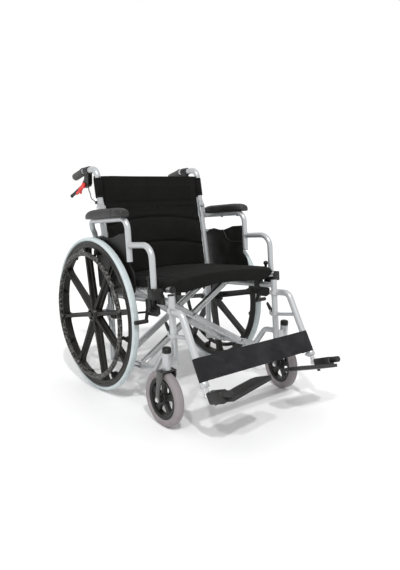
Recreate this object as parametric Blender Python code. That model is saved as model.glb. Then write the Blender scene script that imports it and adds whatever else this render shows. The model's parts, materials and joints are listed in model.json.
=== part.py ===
"""A folding wheelchair: two side frames on a scissor cross-brace, with 24-inch
moulded wheels, 200 mm castors, flip-back arms, swing-away footrests, a
half-folding back and both parking brakes and attendant brake levers.

Metres, +Z up. The chair faces -Y and its right side is -X. The frame is pitched
back by RAKE about the rear axles, so frame pieces are modelled upright in the
frame's own axes, whose origin is the axle line, and the wheels in floor axes.
Every piece is modelled on the left side (+X) and mirrored for the right.
"""

import math

import bmesh
import bpy
from mathutils import Matrix, Vector

# Overall stance
AXLE_HEIGHT = 0.305
RAKE = math.radians(6.8)
SEAT_HALF = 0.2665
SEAT_WRAP = 0.0145
FRAME_X = SEAT_HALF - SEAT_WRAP
RUNNING_GAP = 0.0003
SLIDE_GAP = 0.0004
SOFT_GAP = 0.0004
CUT_OVERRUN = 0.010
WELD = 0.000001
TUBE_LEVEL = 3
ROUND = 10
PIN_ROUND = 8
PIN_LIMIT = 0.0065

# Rear wheel, which stands on the floor
TYRE_R = AXLE_HEIGHT
TYRE_DEPTH = 0.0145
TYRE_INNER_R = TYRE_R - TYRE_DEPTH
TYRE_HALF_WIDTH = 0.0135
TYRE_TREAD_HALF = 0.005
TYRE_SHOULDER = 0.006
WHEEL_OUT = 0.057
WHEEL_X = FRAME_X + WHEEL_OUT
WHEEL_SIDES = 30
RIM_OUTER_R = TYRE_INNER_R - RUNNING_GAP
RIM_DEPTH = 0.0257
RIM_INNER_R = RIM_OUTER_R - RIM_DEPTH
RIM_SHOULDER_R = RIM_OUTER_R - 0.0182
RIM_INNER_X = WHEEL_X - 0.0214
RIM_OUTER_X = WHEEL_X + 0.0135
RIM_LIP = 0.001
RIM_FACE_OUT = 0.006
RIM_FACE_IN = 0.005
RIM_SEAT_IN = 0.0095
HUB_INNER_X = WHEEL_X - 0.0215
HUB_OUTER_X = WHEEL_X + 0.0195
HUB_R = 0.030
HUB_SIDES = 12
HUB_FLARE_IN = 0.0075
HUB_FLARE_OUT = 0.0105
HUB_LIP = 0.001
SPOKE_COUNT = 8
SPOKE_FIRST = math.radians(14)
SPOKE_ROOT_R = 0.022
SPOKE_TIP_R = RIM_INNER_R + 0.003
SPOKE_FOOT = 0.030
SPOKE_ROOT_FRONT = 0.0075
SPOKE_ROOT_BACK = 0.0035
SPOKE_END_FRONT = 0.004
SPOKE_BACK = 0.003
SPOKE_OUTBOARD_WIDTH = 0.012
SPOKE_INBOARD_WIDTH = 0.018
SPOKE_GROOVE = 0.0025
NUB_FIRST = math.radians(36.5)
NUB_WIDTH = 0.016
NUB_INNER_R = RIM_INNER_R - 0.0165
NUB_OUTER_R = RIM_INNER_R + 0.0035
NUB_DEPTH = 0.022
LUG_INSET = 0.001
HANDRIM_R = TYRE_INNER_R - 0.0475
HANDRIM_TUBE_R = 0.0095
HANDRIM_X = WHEEL_X + 0.032
BRACKET_WIDTH = 0.014
BRACKET_OUTER_R = RIM_INNER_R + 0.0055
BRACKET_LAP = 0.003
BRACKET_FOOT = 0.006

# Rear axle
AXLE_R = 0.006
AXLE_SLEEVE_R = 0.014
AXLE_SLEEVE_INNER = FRAME_X - 0.009
AXLE_SLEEVE_OUTER = HUB_INNER_X - RUNNING_GAP
AXLE_NUT_R = 0.010
AXLE_NUT_LENGTH = 0.009
AXLE_HEAD_R = 0.012
AXLE_HEAD_LENGTH = 0.004
GUSSET_HALF = 0.006
GUSSET_WALL = 0.002
GUSSET_LOWER = ((-0.038, -0.048), (-0.012, -0.034))
GUSSET_UPPER = ((-0.012, 0.034), (-0.042, 0.048))

# Side frame, in frame axes; its front clears the tyre
RAIL_R = 0.011
POST_R = 0.012
CANE_R = 0.0125
FRONT_POST_CLEARANCE = 0.141
FRONT_POST_Y = -TYRE_R - FRONT_POST_CLEARANCE
FRONT_POST_FOOT = -0.139
POST_PLUG_HEIGHT = 0.0035
POST_PLUG_STEP = 0.0015
UPPER_RAIL_Z = 0.074
FRONT_POST_TOP = UPPER_RAIL_Z + 0.0245
LOWER_RAIL_Z = -0.181
LOWER_RAIL_FRONT_Z = -0.1095
LOWER_RAIL_STEP_FRONT = FRONT_POST_Y + 0.061
LOWER_RAIL_STEP_REAR = FRONT_POST_Y + 0.124
LOWER_RAIL_BEND = 0.035
REAR_POST_FOOT_Y = -0.020
REAR_POST_FOOT_Z = -0.193
CANE_BEND_Y = -0.039
CANE_BEND_Z = 0.157
CANE_BEND_R = 0.12
CANE_SLOPE = 0.1065
LOWER_CANE_TOP = 0.385

# Castor, in floor axes about its stem; the wheel fills the room under its crown
STEM_X = FRAME_X + 0.0395
STEM_Y = FRONT_POST_Y - 0.017
STEM_R = 0.008
STEM_TOP_GAP = 0.0055
STEM_BORE_GAP = 0.005
HOUSING_R = 0.0155
HOUSING_BOTTOM = AXLE_HEIGHT - 0.097
HOUSING_TOP = HOUSING_BOTTOM + 0.060
BRIDGE_HALF = 0.0085
BRIDGE_BELOW = 0.020
BRIDGE_ABOVE = 0.012
CAP_HEIGHT = 0.019
CAP_OVERHANG = 0.0005
CAP_TAPER = 0.003
CROWN_BOTTOM = HOUSING_BOTTOM - 0.005
CROWN_CLEARANCE = 0.003
CROWN_FRONT = -0.017
CROWN_REAR = 0.019
CROWN_R = 0.0135
CROWN_DROP = 0.0010
LEG_DROP = 0.0012
CASTOR_R = (CROWN_BOTTOM - CROWN_CLEARANCE) / 2
CASTOR_HALF_WIDTH = 0.0165
CASTOR_BEAD_HALF = 0.0125
CASTOR_SHOULDER = 0.014
CASTOR_CROWN_DROP = 0.004
CASTOR_TREAD_HALF = 0.005
CASTOR_INNER_R = CASTOR_R - 0.026
CASTOR_SIDES = 24
CASTOR_TRAIL = 0.012
CASTOR_YAW_LEFT = math.radians(-11)
CASTOR_RIM_R = CASTOR_INNER_R - 0.014
CASTOR_RIM_HALF = 0.0135
CASTOR_HUB_R = 0.019
CASTOR_HUB_NECK_R = 0.012
CASTOR_HUB_HALF = 0.012
CASTOR_HUB_PLAY = 0.0008
CASTOR_SPOKES = 5
CASTOR_SPOKE_ROOT = (0.0085, 0.010, 0.010)
CASTOR_SPOKE_TIP = (0.0065, CASTOR_RIM_R + 0.003, 0.015)
FORK_INNER = 0.0255
FORK_THICK = 0.005
FORK_BOSS_R = 0.0115
FORK_FRONT = ((-0.017, 1.90), (-0.004, 1.65), (0.002, 1.25))
FORK_REAR = ((0.021, 1.30), (0.018, 1.65), (0.019, 1.88))
CASTOR_AXLE_R = 0.005
CASTOR_BOLT_R = 0.0085
CASTOR_BOLT_TIP_R = 0.0070
CASTOR_BOLT_HEAD = 0.005
CASTOR_BOLT_LAP = 0.001

# Cross-brace
BRACE_LOWER_Z = LOWER_RAIL_Z
SEAT_RAIL_Z = UPPER_RAIL_Z + 0.043
SEAT_RAIL_FRONT = FRONT_POST_Y - 0.009
SEAT_RAIL_REAR = -0.085
SEAT_RAIL_PLUG = 0.004
SEAT_RAIL_PLUG_STEP = 0.001
BRACE_A_Y = (-0.222, -0.089)
BRACE_B_Y = (-0.240, -0.107)
BRACE_WIDTH = 0.024
BRACE_THICK = 0.014
BRACE_CORNER = 0.002
BRACE_GROOVE = 0.0014
BRACE_GROOVE_HALF = 0.0016
BRACE_GROOVE_AT = 0.004
SLEEVE_R = 0.0145
SLEEVE_LENGTH = 0.050
BRACE_PIN_R = 0.005
BRACE_PIN_HEAD_R = 0.010
BRACE_PIN_HEAD = 0.004
SADDLE_Y = (-0.360, -0.165)
SADDLE_LENGTH = 0.032
SADDLE_HALF_WIDTH = 0.011
SADDLE_TOP = SEAT_RAIL_Z - 0.004

# Arm; its front half stays clear of the tyre
ARM_X = FRAME_X + 0.0355
ARM_REAR_X = ARM_X - 0.012
ARM_SHOULDER_X = ARM_REAR_X + 0.003
ARM_SHOULDER_Y = -0.080
ARM_R = 0.011
ARM_REAR_Y = 0.030
ARM_PIVOT_Y = 0.035
ARM_PIVOT_Z = 0.295
ARM_PIN_R = 0.005
ARM_PIN_LAP = 0.001
ARM_HEAD_R = 0.008
ARM_HEAD_LENGTH = 0.003
ARM_TOP_Z = ARM_PIVOT_Z + 0.073
ARM_REAR_RISE = 0.028
ARM_MAIN_BEND = 0.040
ARM_FOOT_X = FRAME_X + 0.010
ARM_FOOT_Z = ARM_PIVOT_Z - 0.011
ARM_FOOT_RISE = 0.022
ARM_BRACKET_X = FRAME_X - 0.008
ARM_BRACKET_THICK = 0.006
ARM_EAR_R = 0.011
ARM_EAR_BELOW = 0.017
ARM_EAR_ABOVE = 0.019
ARM_FRONT_Y = FRONT_POST_Y + 0.047
ARM_POST_Y = ARM_FRONT_Y + 0.143
ARM_BRANCH_Z = ARM_TOP_Z - 0.0963
ARM_POST_FOOT = ARM_BRANCH_Z - 0.0593
ARM_TIP_Z = UPPER_RAIL_Z + 0.026
ARM_BEND = 0.048
PAD_X = ARM_X + 0.0075
PAD_WIDTH = 0.052
PAD_HEIGHT = 0.029
PAD_LIP = 0.004
PAD_REAR = 0.045
PAD_FRONT = ARM_POST_Y - 0.021
PANEL_INNER = ARM_X - 0.008
PANEL_OUTER = PANEL_INNER + 0.004
PANEL_BOTTOM = UPPER_RAIL_Z + 0.016
PANEL_REAR = 0.001
PANEL_TOP = ARM_TOP_Z - 0.054
PANEL_WAVE = (
    (0.0, 0.032),
    (0.1206, 0.012),
    (0.2568, 0.006),
    (0.3735, 0.013),
    (0.4942, 0.016),
    (0.6265, 0.008),
    (0.7432, 0.0005),
)
PANEL_SWELL = ((-0.012, 0.085), (-0.018, 0.061), (-0.012, 0.012), (0.006, 0.0))
PANEL_TAIL = ((-0.031, 0.0), (-0.005, 0.020))
PANEL_NOTCH = 0.012
PANEL_HOLE = (0.006, 0.045)
PANEL_HOLE_R = 0.005
SOCKET_INNER = FRAME_X + 0.016
SOCKET_OUTER = ARM_X + 0.020
SOCKET_BOTTOM = UPPER_RAIL_Z + 0.013
SOCKET_TOP = SOCKET_BOTTOM + 0.037
SOCKET_SWING = 0.0145
SOCKET_WALL = 0.004
SOCKET_BEVEL = 0.003
SOCKET_LUG_BELOW = 0.009
SOCKET_LUG_LAP = 0.002
SOCKET_LUG_RISE = 0.013
POCKET_FLOOR = 0.0005

# Hanger and footrest
HANGER_X = FRAME_X + 0.010
HANGER_R = 0.0125
HANGER_TOP_Z = UPPER_RAIL_Z - 0.029
HANGER_BEND_Y = FRONT_POST_Y - 0.072
HANGER_STEP_Y = FRONT_POST_Y - 0.024
HANGER_SHOULDER = 0.006
HANGER_KNEE_Z = HANGER_TOP_Z - 0.015
HANGER_FOOT_Y = HANGER_BEND_Y - 0.0944
HANGER_FOOT_Z = -0.1789
HANGER_BEND = 0.040
COLLAR_R = 0.017
COLLAR_HEIGHT = 0.018
LOWER_COLLAR_TRIM = 0.002
LOWER_COLLAR_Z = -0.042
BRACE_BAR_R = 0.0055
BRACE_BAR_START = 0.008
BRACE_BAR_REACH = 0.070
FOOT_COLLAR_LENGTH = 0.018
FOOT_COLLAR_END = 0.001
FOOT_COLLAR_WALL = 0.003
FOOT_BOLT_DROP = 0.010
FOOT_BOLT_REACH = (0, -0.026, 0.010)
FOOT_BOLT_R = 0.004
EAR_BLOCK_HALF = 0.006
EAR_BLOCK_LAP = 0.003
EAR_BLOCK_REACH = 0.009
EAR_BLOCK_TOP = 0.005
EAR_BLOCK_BEVEL = 0.001
EAR_HALF_THICK = 0.0015
EAR_HALF_DEPTH = 0.004
EAR_TOP = 0.015
LEVER_PIN_R = 0.002
LEVER_PIN_Y = FRONT_POST_Y + COLLAR_R + 0.005
LEVER_PIN_Z = LOWER_COLLAR_Z + 0.0110
LEVER_HALF_THICK = 0.0040
LEVER_OUTLINE = (
    (-0.0035, -0.0035),
    (0.0035, -0.0035),
    (0.012, 0.008),
    (0.022, 0.026),
    (0.018, 0.034),
    (0.006, 0.020),
    (-0.0035, 0.008),
)
FOOT_DROP = 0.036
FOOT_TUBE_R = 0.009
FOOT_BOSS_STEP = 0.0005
FOOT_BOSS_HALF = 0.0095
FOOT_PIN_R = 0.007
FOOT_TOE_UP = math.radians(22)
FOOT_INWARD_UP = math.radians(9)
FOOT_BLOCK_START = 0.0105
FOOT_BLOCK_END = 0.085
FOOT_BLOCK_WIDTH = 0.032
FOOT_BLOCK_TOP = 0.012
FOOT_BLOCK_BEVEL = 0.004
PLATE_TOP = -0.016
PLATE_BOTTOM = -0.028
PLATE_ROOT = 0.004
PLATE_START = 0.012
PLATE_END = 0.112
PLATE_REACH = HANGER_X - 0.066
PLATE_HEEL = ((0.060, 0.0), (0.110, -0.004))
PLATE_CORNER = 0.014
PLATE_RIBS = 5
PLATE_RIB_FIRST = 0.016
PLATE_RIB_STEP = 0.0165
PLATE_RIB_WIDTH = 0.006
PLATE_RIB_RISE = 0.0015
PLATE_RIB_SINK = 0.002
PLATE_RIB_ROOT = 0.030
PLATE_RIB_END = 0.012
STOP_Y = 0.022
STOP_R = 0.006
STOP_DROP = 0.007
KNUCKLE_END = 0.118
KNUCKLE_WALL = 0.004
KNUCKLE_FLOOR = 0.0035
KNUCKLE_LAP = 0.002
KNUCKLE_R = 0.011

# Parking brake
BASE_INNER = FRAME_X + 0.016
BASE_OUTER = BASE_INNER + 0.006
BASE_LAP = 0.002
BRAKE_PIVOT_Y = FRONT_POST_Y + 0.081
BRAKE_PIVOT_Z = UPPER_RAIL_Z - 0.029
BASE_OUTLINE = (
    (-0.035, 0.011),
    (-0.035, -0.013),
    (-0.019, -0.023),
    (0.030, -0.023),
    (0.047, -0.005),
    (0.047, 0.031),
    (0.039, 0.035),
    (-0.013, 0.035),
    (-0.015, 0.017),
)
CLAMP_PLATE_Y = (0.023, 0.046)
CLAMP_PLATE_BELOW = 0.010
CLAMP_PLATE_ABOVE = 0.006
BRAKE_PIN_R = 0.004
BRAKE_SPACER_R = 0.008
BRAKE_NUT_R = 0.007
BRAKE_NUT_LENGTH = 0.003
BRAKE_KNOB_Y = BRAKE_PIVOT_Y - 0.006
BRAKE_KNOB_Z = BRAKE_PIVOT_Z + 0.112
BRAKE_KNOB_R = 0.010
LEVER_INNER = BASE_OUTER + 0.0105
LEVER_OUTER = LEVER_INNER + 0.0055
LEVER_BOSS_R = 0.010
LEVER_FRONT = ((-0.009, 0.060), (-0.008, 0.030))
LEVER_REAR = ((0.007, 0.030), (0.002, 0.060))
LEVER_TIP_HALF = 0.005
SHOE_PIVOT_Y = BRAKE_PIVOT_Y + 0.025
SHOE_PIVOT_Z = BRAKE_PIVOT_Z + 0.013
SHOE_ARM_INNER = BASE_OUTER + 0.0015
SHOE_ARM_OUTER = SHOE_ARM_INNER + 0.005
SHOE_NUT_LENGTH = 0.0025
SHOE_PIN_LAP = 0.001
SHOE_BOSS_R = 0.0085
SHOE_TIP_R = 0.0070
SHOE_R = 0.008
SHOE_CLEARANCE = 0.0074
SHOE_Y = -TYRE_R - SHOE_R - SHOE_CLEARANCE
SHOE_Z = 0.0
SHOE_INNER = BASE_OUTER - 0.002
SHOE_OUTER = WHEEL_X + 0.016
LINK_ROD_R = 0.004
LINK_ROD_X = FRAME_X + 0.019
LINK_ROD_FRONT = (0.033, -0.011)
LINK_BOX_Y = -0.085
LINK_BOX_Z = -0.002
LINK_BOX_IN = 0.0065
LINK_BOX_OUT = 0.009
LINK_BOX_HALF_LENGTH = 0.018
LINK_BOX_HALF_HEIGHT = 0.013
LINK_BOX_BEVEL = 0.003
STAY_HALF = 0.008
STAY_IN = 0.004
STAY_DEPTH = 0.006
STAY_OUT = 0.013
NECK_OUT = 0.001
NECK_START = 0.002
NECK_GAP = 0.003

# Back hinge, handle and attendant brake
BACK_HINGE_Z = LOWER_CANE_TOP + 0.0307
HINGE_R = 0.0125
HINGE_PLATE_LAP = 0.018
HINGE_TONGUE_HALF = 0.0100
HINGE_PLATE_GAP = 0.0105
HINGE_PLATE_OUTER = 0.0145
HINGE_PIN_R = 0.004
TONGUE_STEP = 0.002
TONGUE_LAP = 0.006
UPPER_CANE_START = 0.0135
CLIP_Z = 0.010
CLIP_HALF = 0.006
CLIP_IN = 0.004
CLIP_OUT = 0.013
CLIP_DEPTH = 0.009
HANDLE_TOP_Z = BACK_HINGE_Z + 0.1558
HANDLE_CORNER_Y = 0.0015
HANDLE_CORNER_Z = HANDLE_TOP_Z - 0.001
HANDLE_BREAK_Y = 0.115
HANDLE_END_Y = HANDLE_BREAK_Y + 0.078
HANDLE_END_Z = HANDLE_TOP_Z - 0.0145
HANDLE_BEND = 0.035
HANDLE_X = FRAME_X - 0.005
GRIP_START_Y = HANDLE_BREAK_Y + 0.003
GRIP_WALL = 0.0028
GRIP_RIBS = 4
GRIP_SIDES = 10
GRIP_FLANGE = 0.0015
GRIP_FLANGE_LENGTH = 0.004
GRIP_RIB_START = 0.005
GRIP_RIB_DEPTH = 0.0010
GRIP_PLAIN_END = 0.010
GRIP_END_ROUND = 0.002
GRIP_END_REACH = 0.006
GRIP_END_R = 0.008
CLAMP_START_Y = HANDLE_BREAK_Y - 0.053
CLAMP_END_Y = CLAMP_START_Y + 0.036
CLAMP_WALL = 0.004
CLAMP_BORE_OVERRUN = 0.02
BRAKE_BODY_HALF = 0.009
BRAKE_BODY_OUTLINE = (
    (0.002, -0.005),
    (0.035, -0.005),
    (0.042, -0.0315),
    (0.057, -0.043),
    (0.059, -0.0515),
    (0.066, -0.0575),
    (0.064, -0.0655),
    (0.050, -0.067),
    (0.030, -0.063),
    (0.018, -0.0625),
    (0.008, -0.0515),
)
BRAKE_SLOT_HALF = 0.0050
BRAKE_SLOT_Y = (0.0365, 0.078)
BRAKE_SLOT_Z = (-0.0815, -0.0115)
HANDLE_PIVOT_Y = CLAMP_START_Y + 0.050
HANDLE_PIVOT_Z = HANDLE_TOP_Z - 0.050
HANDLE_PIN_R = 0.003
HANDLE_PIN_INSET = 0.001
HANDLE_LEVER_Y = HANDLE_PIVOT_Y + 0.1297
HANDLE_LEVER_Z = HANDLE_PIVOT_Z - 0.0404
HANDLE_LEVER_PLAY = 0.0004
HANDLE_LEVER_TIP = 0.0045
HANDLE_LEVER_UNDER = ((0.0, -0.0065), (0.018, -0.0075), (0.060, -0.0060))
HANDLE_LEVER_OVER = ((0.060, 0.0050), (0.018, 0.0070), (0.0, 0.0065), (-0.0055, 0.0))
HANDLE_BALL_R = 0.008
CATCH_PIVOT_Y = HANDLE_PIVOT_Y + 0.010
CATCH_PIVOT_Z = HANDLE_PIVOT_Z - 0.0095
CATCH_END_Y = CATCH_PIVOT_Y + 0.048
CATCH_END_Z = CATCH_PIVOT_Z - 0.0214
CATCH_THICK = 0.004
CATCH_PIN_R = 0.0018
CATCH_PIN_LAP = 0.001
CATCH_BOSS_R = 0.0055
CATCH_UNDER = ((0.010, -0.012), (0.026, -0.019))
CATCH_TIP = ((-0.006, -0.006), (0.003, -0.009), (0.004, 0.0), (-0.008, 0.003))
CATCH_OVER = ((0.024, -0.007), (0.014, -0.002))

# Cable, from the handle down the cane to the rear box
CABLE_R = 0.0028
CABLE_STEP = 0.018
CABLE_FROM_HANDLE = (
    (0.0, 0.025, -0.0634),
    (0.0, 0.024, -0.0775),
    (0.017, -0.018, -0.0975),
    (0.027, -0.042, -0.1145),
    (0.017, -0.052, -0.1285),
)
CABLE_ON_CANE = ((0.004, 0.425), (0.0025, 0.360), (0.0025, 0.295), (0.005, 0.250))
CABLE_LEAVES_CANE = (0.014, 0.205)
CABLE_BELOW = (
    (0.0175, -0.040, 0.150),
    (0.0188, -0.058, 0.095),
    (0.019, -0.078, 0.052),
    (0.019, -0.085, 0.032),
)

# Soft parts
BACK_THICK = 0.020
BACK_BOW = 0.012
BACK_EDGE_ROUND = 0.02
BACK_END_ROUND = 0.012
BACK_LOWER_HALF = FRAME_X - 0.0129
BACK_HINGE_HALF = FRAME_X - 0.0152
BACK_HINGE_ROOM = BACK_HINGE_Z - 0.0537
BACK_LOWER_BOTTOM = 0.130
BACK_LOWER_TOP = BACK_HINGE_Z - 0.0027
BACK_UPPER_BOTTOM = BACK_HINGE_Z + 0.0033
BACK_UPPER_TOP = HANDLE_TOP_Z - 0.0375
BACK_UPPER_HALF = FRAME_X + 0.016
BACK_SLEEVE_BOTTOM = BACK_HINGE_Z + 0.0373
BACK_WEB_REACH = 0.03
BACK_WEB_HALF = 0.007
SEAM_DEPTH = 0.004
SEAM_WIDTH = 0.008
SEAM_ONE_Z = BACK_LOWER_TOP - 0.041
SEAM_TWO_Z = BACK_LOWER_TOP - 0.145
SEAM_DROP = 0.030
SEAT_FRONT = FRONT_POST_Y + 0.001
SEAT_REAR = -0.075
SEAT_EDGE_TOP = SEAT_RAIL_Z + 0.033
SEAT_CROWN = SEAT_EDGE_TOP + 0.018
SEAT_UNDERSIDE = SEAT_RAIL_Z - 0.005
SEAT_ARCH = 0.016
SEAT_FLAT_HALF = FRAME_X - 0.062
SEAT_TOP_IN = 0.012
SEAT_SHOULDER = (0.003, 0.006)
SEAT_SKIRT = (0.002, 0.006)
SEAT_TUCK = (0.002, 0.0012)
SEAT_SLOT_MARGIN = 0.001
SEAT_SLOT_REACH = 0.030
SEAT_SLOT_BELOW = 0.010
SEAT_CUT_FRONT = 0.03
SEAT_CUT_REAR = 0.05
STRAP_HALF = HANGER_X + 0.0162
STRAP_THICK = 0.003
STRAP_HEIGHT = 0.079
STRAP_TOP_Y = HANGER_BEND_Y - 0.0353
STRAP_FLAP = 0.045
STRAP_SAG = ((0.54, 0.003), (0.0, 0.006))

MATERIALS = {
    "silver_paint": ((0.60, 0.61, 0.62), 0.35, 0.6),
    "chrome": ((0.75, 0.75, 0.76), 0.15, 1.0),
    "black_plastic": ((0.030, 0.027, 0.025), 0.45, 0.0),
    "grey_tyre": ((0.50, 0.58, 0.60), 0.75, 0.0),
    "castor_rubber": ((0.30, 0.26, 0.26), 0.70, 0.0),
    "black_fabric": ((0.012, 0.011, 0.010), 0.90, 0.0),
    "pad_foam": ((0.055, 0.053, 0.050), 0.60, 0.0),
    "red_plastic": ((0.60, 0.04, 0.03), 0.35, 0.0),
    "strap_webbing": ((0.024, 0.023, 0.024), 0.95, 0.0),
}


def clear_scene():
    """Start from an empty scene."""
    for obj in list(bpy.data.objects):
        bpy.data.objects.remove(obj, do_unlink=True)


def make_materials():
    """One Principled material for each finish."""
    made = {}
    for name, (colour, rough, metal) in MATERIALS.items():
        material = bpy.data.materials.new(name)
        material.use_nodes = True
        shader = material.node_tree.nodes["Principled BSDF"]
        shader.inputs["Base Color"].default_value = (*colour, 1.0)
        shader.inputs["Roughness"].default_value = rough
        shader.inputs["Metallic"].default_value = metal
        made[name] = material
    return made


def finished(bm):
    """The mesh of a bmesh, welded and facing out."""
    bmesh.ops.remove_doubles(bm, verts=bm.verts, dist=WELD)
    bmesh.ops.recalc_face_normals(bm, faces=bm.faces)
    mesh = bpy.data.meshes.new("shape")
    bm.to_mesh(mesh)
    bm.free()
    return mesh


def moved(mesh, matrix):
    """The same mesh under a matrix, still facing out."""
    mesh.transform(matrix)
    if matrix.determinant() < 0:
        mesh.flip_normals()
    return mesh


def sides_for(radius):
    """How many sides a round of some radius gets."""
    return PIN_ROUND if radius < PIN_LIMIT else ROUND


def across_flats(radius, sides):
    """Corner radius of a polygon whose flats lie at a radius."""
    return radius / math.cos(math.pi / sides)


def bore_radius(radius, gap=RUNNING_GAP):
    """Corner radius of a bore that clears a round of some radius."""
    return across_flats(radius + gap, sides_for(radius + gap))


def turned(profile, sides, ring=False, flats=False):
    """A solid turned about X from (x, radius) points, with a flat facing down."""
    bm = bmesh.new()
    phase = math.pi / sides
    grow = 1.0 / math.cos(phase) if flats else 1.0
    verts = [
        bm.verts.new((x, r * grow * math.sin(phase), r * grow * math.cos(phase)))
        for x, r in profile
    ]
    edges = [bm.edges.new(pair) for pair in zip(verts, verts[1:])]
    if ring:
        edges.append(bm.edges.new((verts[-1], verts[0])))
    bmesh.ops.spin(
        bm,
        geom=verts + edges,
        cent=(0, 0, 0),
        axis=(1, 0, 0),
        angle=2 * math.pi,
        steps=sides,
        use_merge=True,
    )
    return finished(bm)


def rod(start, end, radius, sides=None):
    """A round bar between two points."""
    start, end = Vector(start), Vector(end)
    run = end - start
    bm = bmesh.new()
    bmesh.ops.create_cone(
        bm,
        cap_ends=True,
        segments=sides or sides_for(radius),
        radius1=radius,
        radius2=radius,
        depth=run.length,
    )
    turn = run.to_track_quat("Z", "Y").to_matrix().to_4x4()
    bm.transform(Matrix.Translation((start + end) / 2) @ turn)
    return finished(bm)


def upright(x, y, low, high, radius):
    """A round bar that stands upright."""
    return rod((x, y, low), (x, y, high), radius)


def box(low, high, bevel=0.0, segments=1):
    """A block between two corners, with its edges bevelled."""
    low, high = Vector(low), Vector(high)
    size = high - low
    bm = bmesh.new()
    bmesh.ops.create_cube(bm, size=1.0)
    bm.transform(Matrix.Translation((low + high) / 2) @ Matrix.Diagonal((*size, 1.0)))
    if bevel:
        bmesh.ops.bevel(
            bm, geom=bm.edges[:], offset=bevel, segments=segments, affect="EDGES", profile=0.5
        )
    return finished(bm)


def ball(centre, radius, across=6, around=8):
    """A sphere."""
    bm = bmesh.new()
    bmesh.ops.create_uvsphere(bm, u_segments=around, v_segments=across, radius=radius)
    bm.transform(Matrix.Translation(Vector(centre)))
    return finished(bm)


def slab(outline, low, high):
    """A plate of some outline in the YZ plane, from one X to another."""
    bm = bmesh.new()
    face = bm.faces.new([bm.verts.new((low, y, z)) for y, z in outline])
    grown = bmesh.ops.extrude_face_region(bm, geom=[face])
    lifted = [v for v in grown["geom"] if isinstance(v, bmesh.types.BMVert)]
    bmesh.ops.translate(bm, verts=lifted, vec=(high - low, 0, 0))
    return finished(bm)


def arc(centre, radius, start, end, steps):
    """Points of an arc, angles in degrees from +Y toward +Z."""
    turn = [math.radians(start + (end - start) * i / steps) for i in range(steps + 1)]
    return [(centre[0] + radius * math.cos(a), centre[1] + radius * math.sin(a)) for a in turn]


def rounded(points, radius, steps=3):
    """A path through points whose corners are arcs of a radius."""
    points = [Vector(p) for p in points]
    path = [points[0]]
    for before, corner, after in zip(points, points[1:], points[2:]):
        into = (before - corner).normalized()
        out = (after - corner).normalized()
        half = into.angle(out) / 2
        reach = min(
            radius / math.tan(half),
            0.49 * (before - corner).length,
            0.49 * (after - corner).length,
        )
        centre_way = (into + out).normalized()
        bend = reach * math.tan(half)
        centre = corner + centre_way * (bend / math.sin(half))
        first = corner + into * reach - centre
        last = corner + out * reach - centre
        sweep = first.angle(last)
        for i in range(steps + 1):
            share = i / steps
            blend = first * math.sin((1 - share) * sweep) + last * math.sin(share * sweep)
            path.append(centre + blend / math.sin(sweep))
    path.append(points[-1])
    return path


def tube(path, radius, level=TUBE_LEVEL):
    """A round tube along a path, with filled ends."""
    curve = bpy.data.curves.new("path", "CURVE")
    curve.dimensions = "3D"
    curve.bevel_depth = radius
    curve.bevel_resolution = level
    curve.use_fill_caps = True
    spline = curve.splines.new("POLY")
    spline.points.add(len(path) - 1)
    for point, place in zip(spline.points, path):
        point.co = (*place, 1.0)
    holder = bpy.data.objects.new("path", curve)
    bpy.context.scene.collection.objects.link(holder)
    mesh = evaluated(holder)
    bpy.data.objects.remove(holder, do_unlink=True)
    bm = bmesh.new()
    bm.from_mesh(mesh)
    return finished(bm)


def evaluated(obj):
    """The mesh that an object shows in the viewport."""
    bpy.context.view_layer.update()
    graph = bpy.context.evaluated_depsgraph_get()
    return bpy.data.meshes.new_from_object(obj.evaluated_get(graph), depsgraph=graph)


def fused(parts, cuts=()):
    """One solid: the union of some meshes, less the cutting ones."""
    scene = bpy.context.scene.collection
    base = bpy.data.objects.new("base", parts[0])
    scene.objects.link(base)
    groups = []
    for operation, meshes in (("UNION", parts[1:]), ("DIFFERENCE", cuts)):
        if not meshes:
            continue
        group = bpy.data.collections.new(operation)
        for mesh in meshes:
            group.objects.link(bpy.data.objects.new("tool", mesh))
        modifier = base.modifiers.new(operation, "BOOLEAN")
        modifier.operation = operation
        modifier.operand_type = "COLLECTION"
        modifier.collection = group
        modifier.solver = "EXACT"
        groups.append(group)
    mesh = evaluated(base)
    for group in groups:
        for tool in list(group.objects):
            bpy.data.objects.remove(tool, do_unlink=True)
        bpy.data.collections.remove(group)
    bpy.data.objects.remove(base, do_unlink=True)
    bm = bmesh.new()
    bm.from_mesh(mesh)
    bmesh.ops.dissolve_degenerate(bm, edges=bm.edges, dist=WELD)
    return finished(bm)


def lofted(rings):
    """A closed skin over rings of points, with its two ends capped."""
    bm = bmesh.new()
    rows = [[bm.verts.new(p) for p in ring] for ring in rings]
    for near, far in zip(rows, rows[1:]):
        for i in range(len(near)):
            j = (i + 1) % len(near)
            bm.faces.new((near[i], near[j], far[j], far[i]))
    bm.faces.new(rows[0])
    bm.faces.new(rows[-1])
    return finished(bm)


FLOOR_TO_FRAME = Matrix.Rotation(RAKE, 4, "X") @ Matrix.Translation((0, 0, -AXLE_HEIGHT))
MIRROR = Matrix.Scale(-1, 4, (1, 0, 0))


def cane_y(z):
    """Where the back cane's centre lies at a height of the frame."""
    return CANE_BEND_Y + (z - CANE_BEND_Z) * CANE_SLOPE


def rear_post_y(z):
    """Where the rear post's centre lies at a height of the frame."""
    share = (z - REAR_POST_FOOT_Z) / (CANE_BEND_Z - REAR_POST_FOOT_Z)
    return REAR_POST_FOOT_Y + share * (CANE_BEND_Y - REAR_POST_FOOT_Y)


def at_x(x, points):
    """Points of one X from (y, z) pairs."""
    return [(x, y, z) for y, z in points]


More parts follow.
